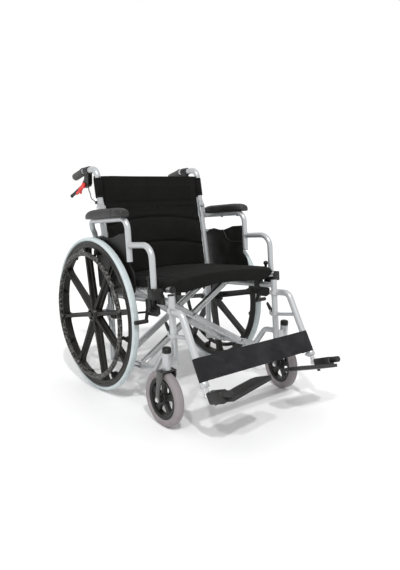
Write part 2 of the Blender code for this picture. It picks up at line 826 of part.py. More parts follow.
def side_frame():
    """Posts, rails, rear post, axle sleeve, castor housing, saddles and pivots."""
    x = FRAME_X
    top_cane = cane_y(LOWER_CANE_TOP)
    parts = [
        rod((x, FRONT_POST_Y, FRONT_POST_FOOT), (x, FRONT_POST_Y, FRONT_POST_TOP), POST_R),
        rod(
            (x, FRONT_POST_Y, FRONT_POST_TOP - POST_PLUG_HEIGHT),
            (x, FRONT_POST_Y, FRONT_POST_TOP + POST_PLUG_HEIGHT),
            POST_R - POST_PLUG_STEP,
        ),
        rod((x, FRONT_POST_Y, UPPER_RAIL_Z), (x, rear_post_y(UPPER_RAIL_Z), UPPER_RAIL_Z), RAIL_R),
        tube(
            rounded(
                at_x(
                    x,
                    [
                        (FRONT_POST_Y, LOWER_RAIL_FRONT_Z),
                        (LOWER_RAIL_STEP_FRONT, LOWER_RAIL_FRONT_Z),
                        (LOWER_RAIL_STEP_REAR, LOWER_RAIL_Z),
                        (rear_post_y(LOWER_RAIL_Z), LOWER_RAIL_Z),
                    ],
                ),
                LOWER_RAIL_BEND,
            ),
            RAIL_R,
        ),
        tube(
            rounded(
                at_x(
                    x,
                    [
                        (REAR_POST_FOOT_Y, REAR_POST_FOOT_Z),
                        (CANE_BEND_Y, CANE_BEND_Z),
                        (top_cane, LOWER_CANE_TOP),
                    ],
                ),
                CANE_BEND_R,
                2,
            ),
            CANE_R,
        ),
        rod((AXLE_SLEEVE_INNER, 0, 0), (AXLE_SLEEVE_OUTER, 0, 0), AXLE_SLEEVE_R),
        gusset(),
        castor_housing(),
        arm_bracket(),
    ]
    parts += [saddle(y) for y in SADDLE_Y]
    parts += hinge_plates()
    stem_bore = rod(
        (STEM_X, STEM_Y, HOUSING_BOTTOM - CUT_OVERRUN),
        (STEM_X, STEM_Y, HOUSING_TOP - STEM_BORE_GAP),
        bore_radius(STEM_R),
    )
    cuts = [
        rod(
            (AXLE_SLEEVE_INNER - CUT_OVERRUN, 0, 0),
            (AXLE_SLEEVE_OUTER + CUT_OVERRUN, 0, 0),
            bore_radius(AXLE_R),
        ),
        moved(stem_bore, FLOOR_TO_FRAME),
        rod(
            (x, SEAT_RAIL_FRONT, SEAT_RAIL_Z),
            (x, SEAT_RAIL_REAR, SEAT_RAIL_Z),
            bore_radius(RAIL_R),
        ),
    ]
    return fused(parts, cuts)


def gusset():
    """The plate that ties the axle sleeve to the rear post."""
    reach = AXLE_SLEEVE_R + GUSSET_WALL
    outline = [*GUSSET_LOWER, (GUSSET_WALL, -reach)]
    outline += arc((0, 0), reach, -60, 60, 3)
    outline += [(GUSSET_WALL, reach), *GUSSET_UPPER]
    return slab(outline, FRAME_X - GUSSET_HALF, FRAME_X + GUSSET_HALF)


def castor_housing():
    """The upright tube for the castor's stem, bridged to the front post."""
    housing = rod((STEM_X, STEM_Y, HOUSING_BOTTOM), (STEM_X, STEM_Y, HOUSING_TOP), HOUSING_R)
    housing = moved(housing, FLOOR_TO_FRAME)
    centre = FLOOR_TO_FRAME @ Vector((STEM_X, STEM_Y, (HOUSING_BOTTOM + HOUSING_TOP) / 2))
    bridge = box(
        (FRAME_X, centre.y - BRIDGE_HALF, centre.z - BRIDGE_BELOW),
        (STEM_X, centre.y + BRIDGE_HALF, centre.z + BRIDGE_ABOVE),
    )
    return fused([housing, bridge])


def saddle(y):
    """The moulded seat on the upper rail that a seat rail rests in."""
    half = SADDLE_LENGTH / 2
    return box(
        (FRAME_X - SADDLE_HALF_WIDTH, y - half, UPPER_RAIL_Z),
        (FRAME_X + SADDLE_HALF_WIDTH, y + half, SADDLE_TOP),
    )


def hinge_plates():
    """The two cheeks of the back hinge on the lower cane, with their pin."""
    y = cane_y(BACK_HINGE_Z)
    z = BACK_HINGE_Z
    low = LOWER_CANE_TOP - HINGE_PLATE_LAP
    shape = [(cane_y(low) - HINGE_R, low), (cane_y(low) + HINGE_R, low)]
    shape += [(y + p, z + q) for p, q in arc((0, 0), HINGE_R, 0, 180, 5)]
    plates = [
        slab(shape, FRAME_X + side * HINGE_PLATE_GAP, FRAME_X + side * HINGE_PLATE_OUTER)
        for side in (-1, 1)
    ]
    reach = HINGE_PLATE_OUTER + RUNNING_GAP
    pin = rod((FRAME_X - reach, y, z), (FRAME_X + reach, y, z), HINGE_PIN_R)
    return plates + [pin]


def arm_bracket():
    """The ear on the cane that carries the arm's pivot pin."""
    low, high = ARM_PIVOT_Z - ARM_EAR_BELOW, ARM_PIVOT_Z + ARM_EAR_ABOVE
    outline = [(cane_y(low), low)]
    outline += arc((ARM_PIVOT_Y, ARM_PIVOT_Z), ARM_EAR_R, -90, 90, 4)
    outline += [(cane_y(high), high)]
    ear = slab(outline, ARM_BRACKET_X, ARM_BRACKET_X + ARM_BRACKET_THICK)
    outer = ARM_FOOT_X + ARM_R + RUNNING_GAP
    start = (ARM_BRACKET_X + ARM_BRACKET_THICK / 2, ARM_PIVOT_Y, ARM_PIVOT_Z)
    face = (outer, ARM_PIVOT_Y, ARM_PIVOT_Z)
    pin = rod(start, (outer + ARM_PIN_LAP, ARM_PIVOT_Y, ARM_PIVOT_Z), ARM_PIN_R)
    head = rod(face, (outer + ARM_HEAD_LENGTH, ARM_PIVOT_Y, ARM_PIVOT_Z), ARM_HEAD_R)
    return fused([ear, pin, head])


def rear_axle():
    """The axle bolt through the sleeve and hub, with its nut and head."""
    nut_face = AXLE_SLEEVE_INNER - RUNNING_GAP
    head_face = HUB_OUTER_X + RUNNING_GAP
    profile = [
        (nut_face - AXLE_NUT_LENGTH, 0.0),
        (nut_face - AXLE_NUT_LENGTH, AXLE_NUT_R),
        (nut_face, AXLE_NUT_R),
        (nut_face, AXLE_R),
        (head_face, AXLE_R),
        (head_face, AXLE_HEAD_R),
        (head_face + AXLE_HEAD_LENGTH * 0.6, AXLE_HEAD_R),
        (head_face + AXLE_HEAD_LENGTH, AXLE_HEAD_R * 0.7),
        (head_face + AXLE_HEAD_LENGTH, 0.0),
    ]
    return turned(profile, ROUND)


def tyre():
    """The narrow grey tyre, flat where it meets the floor."""
    half = TYRE_HALF_WIDTH
    profile = [
        (WHEEL_X - half * 0.78, TYRE_INNER_R),
        (WHEEL_X - half, TYRE_INNER_R + TYRE_SHOULDER),
        (WHEEL_X - TYRE_TREAD_HALF, TYRE_R),
        (WHEEL_X + TYRE_TREAD_HALF, TYRE_R),
        (WHEEL_X + half, TYRE_INNER_R + TYRE_SHOULDER),
        (WHEEL_X + half * 0.78, TYRE_INNER_R),
    ]
    return turned(profile, WHEEL_SIDES, ring=True, flats=True)


def about_axle(angle):
    """A turn about the wheel's axle; 0 keeps -Y, positive lifts it toward +Z."""
    return Matrix.Rotation(-angle, 4, "X")


def wheel():
    """The moulded wheel: rim, eight ribbed spokes, hub and handrim lugs."""
    rim = turned(
        [
            (RIM_OUTER_X - RIM_LIP, RIM_OUTER_R),
            (RIM_OUTER_X, RIM_SHOULDER_R),
            (RIM_OUTER_X - RIM_FACE_OUT, RIM_INNER_R),
            (RIM_INNER_X + RIM_FACE_IN, RIM_INNER_R),
            (RIM_INNER_X, RIM_SHOULDER_R),
            (RIM_INNER_X + RIM_SEAT_IN, RIM_OUTER_R),
        ],
        WHEEL_SIDES,
        ring=True,
        flats=True,
    )
    hub = turned(
        [
            (HUB_INNER_X, 0.0),
            (HUB_INNER_X, HUB_R * 0.8),
            (HUB_INNER_X + HUB_FLARE_IN, HUB_R),
            (HUB_OUTER_X - HUB_FLARE_OUT, HUB_R),
            (HUB_OUTER_X - HUB_LIP, HUB_R * 0.72),
            (HUB_OUTER_X, HUB_R * 0.45),
            (HUB_OUTER_X, 0.0),
        ],
        HUB_SIDES,
    )
    parts = [rim, hub]
    for k in range(SPOKE_COUNT):
        turn = 2 * math.pi * k / SPOKE_COUNT
        parts.append(moved(spoke(), about_axle(SPOKE_FIRST + turn)))
        lug = box(
            (RIM_OUTER_X - NUB_DEPTH, -NUB_OUTER_R, -NUB_WIDTH / 2),
            (RIM_OUTER_X - LUG_INSET, -NUB_INNER_R, NUB_WIDTH / 2),
        )
        parts.append(moved(lug, about_axle(NUB_FIRST + turn)))
    low, high = HUB_INNER_X - CUT_OVERRUN, HUB_OUTER_X + CUT_OVERRUN
    bore = rod((low, 0, 0), (high, 0, 0), bore_radius(AXLE_R))
    return fused(parts, [bore])


def spoke():
    """A tapered beam from the hub to the rim, with a groove down its outer face."""
    rings = []
    for y, outer, inner, grow in (
        (-SPOKE_ROOT_R, HUB_OUTER_X - SPOKE_ROOT_FRONT, HUB_INNER_X + SPOKE_ROOT_BACK, 1.35),
        (-SPOKE_TIP_R + SPOKE_FOOT, RIM_OUTER_X - RIM_FACE_OUT, RIM_INNER_X + SPOKE_BACK, 1.0),
        (-SPOKE_TIP_R, RIM_OUTER_X - SPOKE_END_FRONT, RIM_INNER_X + SPOKE_BACK, 1.5),
    ):
        out = SPOKE_OUTBOARD_WIDTH / 2 * grow
        back = SPOKE_INBOARD_WIDTH / 2 * grow
        rings.append(
            [
                (inner, y, -back),
                (inner, y, back),
                (outer, y, out),
                (outer - SPOKE_GROOVE, y, 0.0),
                (outer, y, -out),
            ]
        )
    return lofted(rings)


def handrim():
    """The push ring with its eight brackets, held off the rim's outer face."""
    steps = 6
    ring = [
        (
            HANDRIM_X + HANDRIM_TUBE_R * math.cos(2 * math.pi * i / steps),
            HANDRIM_R + HANDRIM_TUBE_R * math.sin(2 * math.pi * i / steps),
        )
        for i in range(steps)
    ]
    parts = [turned(ring, WHEEL_SIDES, ring=True)]
    inner = RIM_OUTER_X - LUG_INSET + RUNNING_GAP
    for k in range(SPOKE_COUNT):
        turn = NUB_FIRST + 2 * math.pi * k / SPOKE_COUNT
        bracket = box(
            (inner, -BRACKET_OUTER_R, -BRACKET_WIDTH / 2),
            (HANDRIM_X - BRACKET_LAP, -HANDRIM_R + BRACKET_FOOT, BRACKET_WIDTH / 2),
        )
        parts.append(moved(bracket, about_axle(turn)))
    return fused(parts)


def castor_fork():
    """The fork with its stem, crown, two curved legs and the wheel's axle bolt."""
    outer = FORK_INNER + FORK_THICK
    axle_z = CASTOR_R
    parts = [
        rod((0, 0, CROWN_BOTTOM), (0, 0, HOUSING_TOP - STEM_TOP_GAP), STEM_R),
        rod((0, 0, CROWN_BOTTOM), (0, 0, HOUSING_BOTTOM - RUNNING_GAP), CROWN_R),
        box(
            (-outer, CROWN_FRONT, CROWN_BOTTOM),
            (outer, CROWN_REAR, HOUSING_BOTTOM - CROWN_DROP),
        ),
    ]
    leg_top = HOUSING_BOTTOM - LEG_DROP
    leg = [(CROWN_FRONT, leg_top)] + [(y, axle_z * share) for y, share in FORK_FRONT]
    leg += arc((CASTOR_TRAIL, axle_z), FORK_BOSS_R, 165, 375, 5)
    leg += [(y, axle_z * share) for y, share in FORK_REAR] + [(CROWN_REAR, leg_top)]
    parts += [slab(leg, FORK_INNER, outer), slab(leg, -outer, -FORK_INNER)]
    bolt = turned(
        [
            (-outer - CASTOR_BOLT_HEAD, 0.0),
            (-outer - CASTOR_BOLT_HEAD, CASTOR_BOLT_TIP_R),
            (-outer + CASTOR_BOLT_LAP, CASTOR_BOLT_R),
            (-outer + CASTOR_BOLT_LAP, CASTOR_AXLE_R),
            (outer - CASTOR_BOLT_LAP, CASTOR_AXLE_R),
            (outer - CASTOR_BOLT_LAP, CASTOR_BOLT_R),
            (outer + CASTOR_BOLT_HEAD, CASTOR_BOLT_TIP_R),
            (outer + CASTOR_BOLT_HEAD, 0.0),
        ],
        ROUND,
    )
    parts.append(moved(bolt, Matrix.Translation((0, CASTOR_TRAIL, axle_z))))
    return fused(parts)


def castor_wheel():
    """The castor's black centre: hub, rim and a disc with openings."""
    outer = CASTOR_INNER_R - RUNNING_GAP
    rim = turned(
        [
            (-CASTOR_RIM_HALF, outer),
            (-CASTOR_BEAD_HALF, CASTOR_RIM_R),
            (CASTOR_BEAD_HALF, CASTOR_RIM_R),
            (CASTOR_RIM_HALF, outer),
        ],
        CASTOR_SIDES,
        ring=True,
        flats=True,
    )
    half = FORK_INNER - CASTOR_HUB_PLAY
    hub = turned(
        [
            (-half, 0.0),
            (-half, CASTOR_HUB_NECK_R),
            (-CASTOR_HUB_HALF, CASTOR_HUB_R),
            (CASTOR_HUB_HALF, CASTOR_HUB_R),
            (half, CASTOR_HUB_NECK_R),
            (half, 0.0),
        ],
        ROUND,
    )
    parts = [rim, hub]
    for k in range(CASTOR_SPOKES):
        rings = []
        for thick, reach, wide in (CASTOR_SPOKE_ROOT, CASTOR_SPOKE_TIP):
            corners = ((-thick, -wide), (-thick, wide), (thick, wide), (thick, -wide))
            rings.append([(x, -reach, z) for x, z in corners])
        turn = 2 * math.pi * (k + 0.25) / CASTOR_SPOKES
        parts.append(moved(lofted(rings), about_axle(turn)))
    reach = FORK_INNER + CUT_OVERRUN
    bore = rod((-reach, 0, 0), (reach, 0, 0), bore_radius(CASTOR_AXLE_R))
    return fused(parts, [bore])


def castor_tyre():
    """The castor's round rubber tyre, flat where it meets the floor."""
    half = CASTOR_HALF_WIDTH
    shoulder, crown = CASTOR_R - CASTOR_SHOULDER, CASTOR_R - CASTOR_CROWN_DROP
    profile = [(-CASTOR_BEAD_HALF, CASTOR_INNER_R), (-half, shoulder)]
    profile += [(-half * 0.72, crown), (-CASTOR_TREAD_HALF, CASTOR_R)]
    profile += [(CASTOR_TREAD_HALF, CASTOR_R), (half * 0.72, crown)]
    profile += [(half, shoulder), (CASTOR_BEAD_HALF, CASTOR_INNER_R)]
    return turned(profile, CASTOR_SIDES, ring=True, flats=True)


def castor_cap():
    """The black cap on top of the castor housing."""
    low = HOUSING_TOP + RUNNING_GAP
    profile = [
        (low, 0.0),
        (low, HOUSING_R + CAP_OVERHANG),
        (low + CAP_HEIGHT * 0.78, HOUSING_R + CAP_OVERHANG),
        (low + CAP_HEIGHT, HOUSING_R - CAP_TAPER),
        (low + CAP_HEIGHT, 0.0),
    ]
    cap = moved(turned(profile, ROUND), Matrix.Rotation(math.radians(-90), 4, "Y"))
    return moved(cap, FLOOR_TO_FRAME @ Matrix.Translation((STEM_X, STEM_Y, 0)))


def cross_brace(leg_places, sign):
    """Two legs rising to the +X seat rail, with sleeves for the -X lower rail.

    sign is +1 for the brace whose lower sleeves turn on the right rail.
    """
    low = Vector((-FRAME_X, 0, BRACE_LOWER_Z))
    high = Vector((FRAME_X, 0, SEAT_RAIL_Z))
    parts = [
        rod(
            (FRAME_X, SEAT_RAIL_FRONT, SEAT_RAIL_Z),
            (FRAME_X, SEAT_RAIL_REAR, SEAT_RAIL_Z),
            RAIL_R,
        ),
        rod(
            (FRAME_X, SEAT_RAIL_FRONT - SEAT_RAIL_PLUG, SEAT_RAIL_Z),
            (FRAME_X, SEAT_RAIL_FRONT + SEAT_RAIL_PLUG, SEAT_RAIL_Z),
            RAIL_R - SEAT_RAIL_PLUG_STEP,
        ),
    ]
    cuts = []
    through = Vector((0, BRACE_THICK / 2 + CUT_OVERRUN, 0))
    for y in leg_places:
        offset = Vector((0, y, 0))
        parts.append(grooved_beam(low + offset, high + offset))
        reach = Vector((0, SLEEVE_LENGTH / 2, 0))
        parts.append(rod(low + offset - reach, low + offset + reach, SLEEVE_R))
        cuts.append(
            rod(low + offset - reach * 1.2, low + offset + reach * 1.2, bore_radius(RAIL_R))
        )
        middle = (low + high) / 2 + offset
        cuts.append(rod(middle - through, middle + through, bore_radius(BRACE_PIN_R)))
    mesh = fused(parts, cuts)
    return mesh if sign > 0 else moved(mesh, MIRROR)


def grooved_beam(start, end):
    """A flat brace leg with two shallow grooves along its front face."""
    half, thick, groove = BRACE_WIDTH / 2, BRACE_THICK / 2, BRACE_GROOVE
    corner = BRACE_CORNER
    section = [(-half, thick), (-half, -thick + corner), (-half + corner, -thick)]
    for middle in (-BRACE_GROOVE_AT, BRACE_GROOVE_AT):
        section.append((middle - BRACE_GROOVE_HALF, -thick))
        section.append((middle, -thick + groove))
        section.append((middle + BRACE_GROOVE_HALF, -thick))
    section += [(half - corner, -thick), (half, -thick + corner), (half, thick)]
    run = end - start
    along = run.normalized()
    across = Vector((-along.z, 0, along.x))
    rings = []
    for point in (start, end):
        rings.append([point + across * a + Vector((0, b, 0)) for a, b in section])
    return lofted(rings)


def brace_pin(a_y, b_y):
    """The pin through both legs where they cross, with a spacer and two heads."""
    z = (BRACE_LOWER_Z + SEAT_RAIL_Z) / 2
    half = BRACE_THICK / 2
    gap = RUNNING_GAP
    front = b_y - half - gap
    rear = a_y + half + gap
    profile = [
        (front - BRACE_PIN_HEAD, 0.0),
        (front - BRACE_PIN_HEAD, BRACE_PIN_HEAD_R * 0.7),
        (front, BRACE_PIN_HEAD_R),
        (front, BRACE_PIN_R),
        (b_y + half + gap, BRACE_PIN_R),
        (b_y + half + gap, BRACE_PIN_HEAD_R),
        (a_y - half - gap, BRACE_PIN_HEAD_R),
        (a_y - half - gap, BRACE_PIN_R),
        (rear, BRACE_PIN_R),
        (rear, BRACE_PIN_HEAD_R),
        (rear + BRACE_PIN_HEAD, BRACE_PIN_HEAD_R * 0.7),
        (rear + BRACE_PIN_HEAD, 0.0),
    ]
    pin = moved(turned(profile, ROUND), Matrix.Rotation(math.radians(90), 4, "Z"))
    return moved(pin, Matrix.Translation((0, 0, z)))


def arm_frame():
    """The arm's bent tube: rear foot, top run and front post, with the front branch."""
    main = rounded(
        [
            (ARM_FOOT_X, ARM_PIVOT_Y, ARM_FOOT_Z),
            (ARM_FOOT_X, ARM_PIVOT_Y, ARM_PIVOT_Z + ARM_FOOT_RISE),
            (ARM_REAR_X, ARM_REAR_Y, ARM_TOP_Z - ARM_REAR_RISE),
            (ARM_REAR_X, ARM_REAR_Y, ARM_TOP_Z),
            (ARM_SHOULDER_X, cane_y(ARM_TOP_Z), ARM_TOP_Z),
            (ARM_X, ARM_SHOULDER_Y, ARM_TOP_Z),
            (ARM_X, ARM_POST_Y, ARM_TOP_Z),
            (ARM_X, ARM_POST_Y, ARM_POST_FOOT),
        ],
        ARM_MAIN_BEND,
        2,
    )
    branch = rounded(
        at_x(
            ARM_X,
            [(ARM_POST_Y, ARM_BRANCH_Z), (ARM_FRONT_Y, ARM_BRANCH_Z), (ARM_FRONT_Y, ARM_TIP_Z)],
        ),
        ARM_BEND,
    )
    reach = ARM_R + CUT_OVERRUN
    bore = rod(
        (ARM_FOOT_X - reach, ARM_PIVOT_Y, ARM_PIVOT_Z),
        (ARM_FOOT_X + reach, ARM_PIVOT_Y, ARM_PIVOT_Z),
        bore_radius(ARM_PIN_R),
    )
    return fused([tube(main, ARM_R), tube(branch, ARM_R)], [bore])


def arm_pad():
    """The moulded arm pad: arched top, drooping rear tip and rolled front."""
    stations = 10
    rings = []
    low = ARM_TOP_Z + ARM_R + RUNNING_GAP
    for i in range(stations + 1):
        t = i / stations
        y = PAD_FRONT + (PAD_REAR - PAD_FRONT) * t
        front = math.sqrt(max(0.0, 1 - max(0.0, 1 - t / 0.10) ** 2))
        rear = math.sqrt(max(0.0, 1 - max(0.0, (t - 0.62) / 0.38) ** 2))
        lift = min(0.35 + 0.65 * front, 1.0) * (0.22 + 0.78 * rear)
        height = PAD_LIP + (PAD_HEIGHT - PAD_LIP) * lift
        half = PAD_WIDTH / 2 * (0.66 + 0.34 * front) * (0.72 + 0.28 * rear)
        top = low + height
        shoulder = low + height * 0.55
        rings.append(
            [
                (PAD_X - half * 0.86, y, low),
                (PAD_X - half, y, low + min(PAD_LIP, height * 0.3)),
                (PAD_X - half, y, shoulder),
                (PAD_X - half * 0.72, y, top - height * 0.12),
                (PAD_X, y, top),
                (PAD_X + half * 0.72, y, top - height * 0.12),
                (PAD_X + half, y, shoulder),
                (PAD_X + half, y, low + min(PAD_LIP, height * 0.3)),
                (PAD_X + half * 0.86, y, low),
            ]
        )
    return lofted(rings)


def side_panel():
    """The thin skirt guard that hangs on the arm, with its wavy top edge."""
    front = ARM_POST_Y + math.sqrt(ARM_R**2 - (ARM_X - PANEL_OUTER) ** 2) + RUNNING_GAP
    span = ARM_POST_Y - PANEL_REAR
    outline = [(PANEL_REAR + span * share, PANEL_TOP - drop) for share, drop in PANEL_WAVE]
    outline += [(front, PANEL_TOP), (front, ARM_POST_FOOT - PANEL_NOTCH)]
    outline += [(ARM_POST_Y + y, PANEL_BOTTOM + z) for y, z in PANEL_SWELL]
    outline += [(PANEL_REAR + y, PANEL_BOTTOM + z) for y, z in PANEL_TAIL]
    plate = slab(outline, PANEL_INNER, PANEL_OUTER)
    y, z = ARM_POST_Y + PANEL_HOLE[0], PANEL_BOTTOM + PANEL_HOLE[1]
    low, high = PANEL_INNER - CUT_OVERRUN, PANEL_OUTER + CUT_OVERRUN
    hole = rod((low, y, z), (high, y, z), PANEL_HOLE_R)
    return fused([plate], [hole])


def arm_socket():
    """The moulded socket on the upper rail that takes the arm's front leg."""
    rear = ARM_FRONT_Y + ARM_R + SOCKET_WALL
    front = ARM_FRONT_Y - ARM_R - SOCKET_SWING - SOCKET_WALL
    block = box(
        (SOCKET_INNER, front, SOCKET_BOTTOM), (SOCKET_OUTER, rear, SOCKET_TOP), SOCKET_BEVEL
    )
    rail_side = FRAME_X + RAIL_R + RUNNING_GAP
    lug = box(
        (rail_side, front + SOCKET_WALL, UPPER_RAIL_Z - SOCKET_LUG_BELOW),
        (SOCKET_INNER + SOCKET_LUG_LAP, rear - SOCKET_WALL, SOCKET_BOTTOM + SOCKET_LUG_RISE),
    )
    floor, brim = ARM_TIP_Z - POCKET_FLOOR, SOCKET_TOP + CUT_OVERRUN
    swung = ARM_FRONT_Y - SOCKET_SWING
    room = bore_radius(ARM_R, SLIDE_GAP)
    step = rod((ARM_X, ARM_FRONT_Y, floor), (ARM_X, ARM_FRONT_Y, brim), room)
    swing = rod((ARM_X, swung, floor), (ARM_X, swung, brim), room)
    half = ARM_R + SLIDE_GAP
    between = box((ARM_X - half, swung, floor), (ARM_X + half, ARM_FRONT_Y, brim))
    return fused([block, lug], [fused([step, swing, between])])


def slant():
    """The hanger's direction down its lower run."""
    return Vector((0, HANGER_FOOT_Y - HANGER_BEND_Y, HANGER_FOOT_Z - HANGER_KNEE_Z)).normalized()


def hanger():
    """The swing-away hanger: collars round the front post, bent tube and brace bar."""
    x = FRAME_X
    bend = HANGER_BEND_Y
    path = rounded(
        [
            (x, FRONT_POST_Y, HANGER_TOP_Z),
            (HANGER_X, HANGER_STEP_Y, HANGER_TOP_Z),
            (HANGER_X, bend + HANGER_SHOULDER, HANGER_TOP_Z),
            (HANGER_X, HANGER_FOOT_Y, HANGER_FOOT_Z),
        ],
        HANGER_BEND,
    )
    down = slant()
    foot = Vector((HANGER_X, HANGER_FOOT_Y, HANGER_FOOT_Z))
    half = COLLAR_HEIGHT / 2
    lower_half = half - LOWER_COLLAR_TRIM
    bar_end = Vector((HANGER_X, bend, HANGER_KNEE_Z)) + down * BRACE_BAR_REACH
    bolt = foot - down * FOOT_BOLT_DROP
    ear_low = LOWER_COLLAR_Z - EAR_BLOCK_HALF
    parts = [
        tube(path, HANGER_R),
        upright(x, FRONT_POST_Y, HANGER_TOP_Z - half, HANGER_TOP_Z + half, COLLAR_R),
        upright(
            x, FRONT_POST_Y, LOWER_COLLAR_Z - lower_half, LOWER_COLLAR_Z + lower_half, COLLAR_R
        ),
        rod((x, FRONT_POST_Y - BRACE_BAR_START, LOWER_COLLAR_Z), bar_end, BRACE_BAR_R),
        rod(
            foot - down * FOOT_COLLAR_LENGTH,
            foot - down * FOOT_COLLAR_END,
            HANGER_R + FOOT_COLLAR_WALL,
        ),
        rod(bolt, bolt + Vector(FOOT_BOLT_REACH), FOOT_BOLT_R),
        box(
            (x - EAR_BLOCK_HALF, FRONT_POST_Y + COLLAR_R - EAR_BLOCK_LAP, ear_low),
            (
                x + EAR_BLOCK_HALF,
                FRONT_POST_Y + COLLAR_R + EAR_BLOCK_REACH,
                LOWER_COLLAR_Z + EAR_BLOCK_TOP,
            ),
            EAR_BLOCK_BEVEL,
        ),
    ]
    for side in (-1, 1):
        middle = x + side * EAR_BLOCK_HALF
        parts.append(
            box(
                (middle - EAR_HALF_THICK, LEVER_PIN_Y - EAR_HALF_DEPTH, LOWER_COLLAR_Z),
                (middle + EAR_HALF_THICK, LEVER_PIN_Y + EAR_HALF_DEPTH, LOWER_COLLAR_Z + EAR_TOP),
            )
        )
    parts.append(
        rod(
            (x - EAR_BLOCK_HALF, LEVER_PIN_Y, LEVER_PIN_Z),
            (x + EAR_BLOCK_HALF, LEVER_PIN_Y, LEVER_PIN_Z),
            LEVER_PIN_R,
        )
    )
    low, high = LOWER_COLLAR_Z - half - CUT_OVERRUN, HANGER_TOP_Z + half + CUT_OVERRUN
    bore = upright(x, FRONT_POST_Y, low, high, bore_radius(POST_R, SLIDE_GAP))
    return fused(parts, [bore])


def hanger_lever():
    """The release lever between the ears of the lower collar."""
    y, z = LEVER_PIN_Y, LEVER_PIN_Z
    outline = [(y + p, z + q) for p, q in LEVER_OUTLINE]
    plate = slab(outline, FRAME_X - LEVER_HALF_THICK, FRAME_X + LEVER_HALF_THICK)
    bore = rod(
        (FRAME_X - CUT_OVERRUN, y, z), (FRAME_X + CUT_OVERRUN, y, z), bore_radius(LEVER_PIN_R)
    )
    return fused([plate], [bore])


def foot_frame():
    """The footplate's own axes: origin on its hinge, X inward, Y toe-up, Z up."""
    down = slant()
    hinge = Vector((HANGER_X, HANGER_FOOT_Y, HANGER_FOOT_Z)) + down * FOOT_DROP
    tilt = FOOT_TOE_UP - RAKE
    along = Vector((0, -math.cos(tilt), math.sin(tilt)))
    level = Vector((-1, 0, 0))
    normal = level.cross(along)
    inward = level * math.cos(FOOT_INWARD_UP) + normal * math.sin(FOOT_INWARD_UP)
    up = normal * math.cos(FOOT_INWARD_UP) - level * math.sin(FOOT_INWARD_UP)
    turn = Matrix((inward, along, up)).transposed().to_4x4()
    return Matrix.Translation(hinge) @ turn


def footrest_tube():
    """The plated tube below the hanger, with the footplate's hinge bar."""
    down = slant()
    start = Vector((HANGER_X, HANGER_FOOT_Y, HANGER_FOOT_Z)) + down * RUNNING_GAP
    frame = foot_frame()
    hinge = frame.translation
    along = frame.to_3x3() @ Vector((0, 1, 0))
    parts = [
        rod(start, hinge, FOOT_TUBE_R),
        rod(
            hinge - along * FOOT_BOSS_HALF,
            hinge + along * FOOT_BOSS_HALF,
            FOOT_TUBE_R + FOOT_BOSS_STEP,
        ),
        rod(hinge, hinge + along * (KNUCKLE_END - KNUCKLE_WALL), FOOT_PIN_R),
    ]
    return fused(parts)


def footplate():
    """The fold-up footplate: hinge block, knuckle, ribbed plate and heel stop."""
    half = FOOT_BLOCK_WIDTH / 2
    block = box(
        (-half, FOOT_BLOCK_START, PLATE_BOTTOM),
        (half, FOOT_BLOCK_END, FOOT_BLOCK_TOP),
        FOOT_BLOCK_BEVEL,
    )
    knuckle = rod((0, FOOT_BLOCK_END - KNUCKLE_LAP, 0), (0, KNUCKLE_END, 0), KNUCKLE_R)
    outline = [(PLATE_ROOT, PLATE_START)]
    outline += [(x, PLATE_START + y) for x, y in PLATE_HEEL]
    outline += [
        (PLATE_REACH - PLATE_CORNER, PLATE_START),
        (PLATE_REACH, PLATE_START + PLATE_CORNER),
        (PLATE_REACH, PLATE_END - PLATE_CORNER),
        (PLATE_REACH - PLATE_CORNER, PLATE_END),
        (PLATE_ROOT, PLATE_END),
    ]
    upended = [(y, x) for x, y in outline]
    plate = slab(upended, PLATE_BOTTOM, PLATE_TOP)
    plate = moved(plate, Matrix(((0, 0, 1, 0), (0, 1, 0, 0), (1, 0, 0, 0), (0, 0, 0, 1))))
    stop = upright(PLATE_ROOT, STOP_Y, PLATE_BOTTOM - STOP_DROP, PLATE_BOTTOM + KNUCKLE_LAP, STOP_R)
    parts = [block, knuckle, plate, stop]
    for i in range(PLATE_RIBS):
        y = PLATE_START + PLATE_RIB_FIRST + i * PLATE_RIB_STEP
        parts.append(
            box(
                (PLATE_RIB_ROOT, y, PLATE_TOP - PLATE_RIB_SINK),
                (PLATE_REACH - PLATE_RIB_END, y + PLATE_RIB_WIDTH, PLATE_TOP + PLATE_RIB_RISE),
            )
        )
    bore = rod((0, 0, 0), (0, KNUCKLE_END - KNUCKLE_FLOOR, 0), bore_radius(FOOT_PIN_R))
    return moved(fused(parts, [bore]), foot_frame())


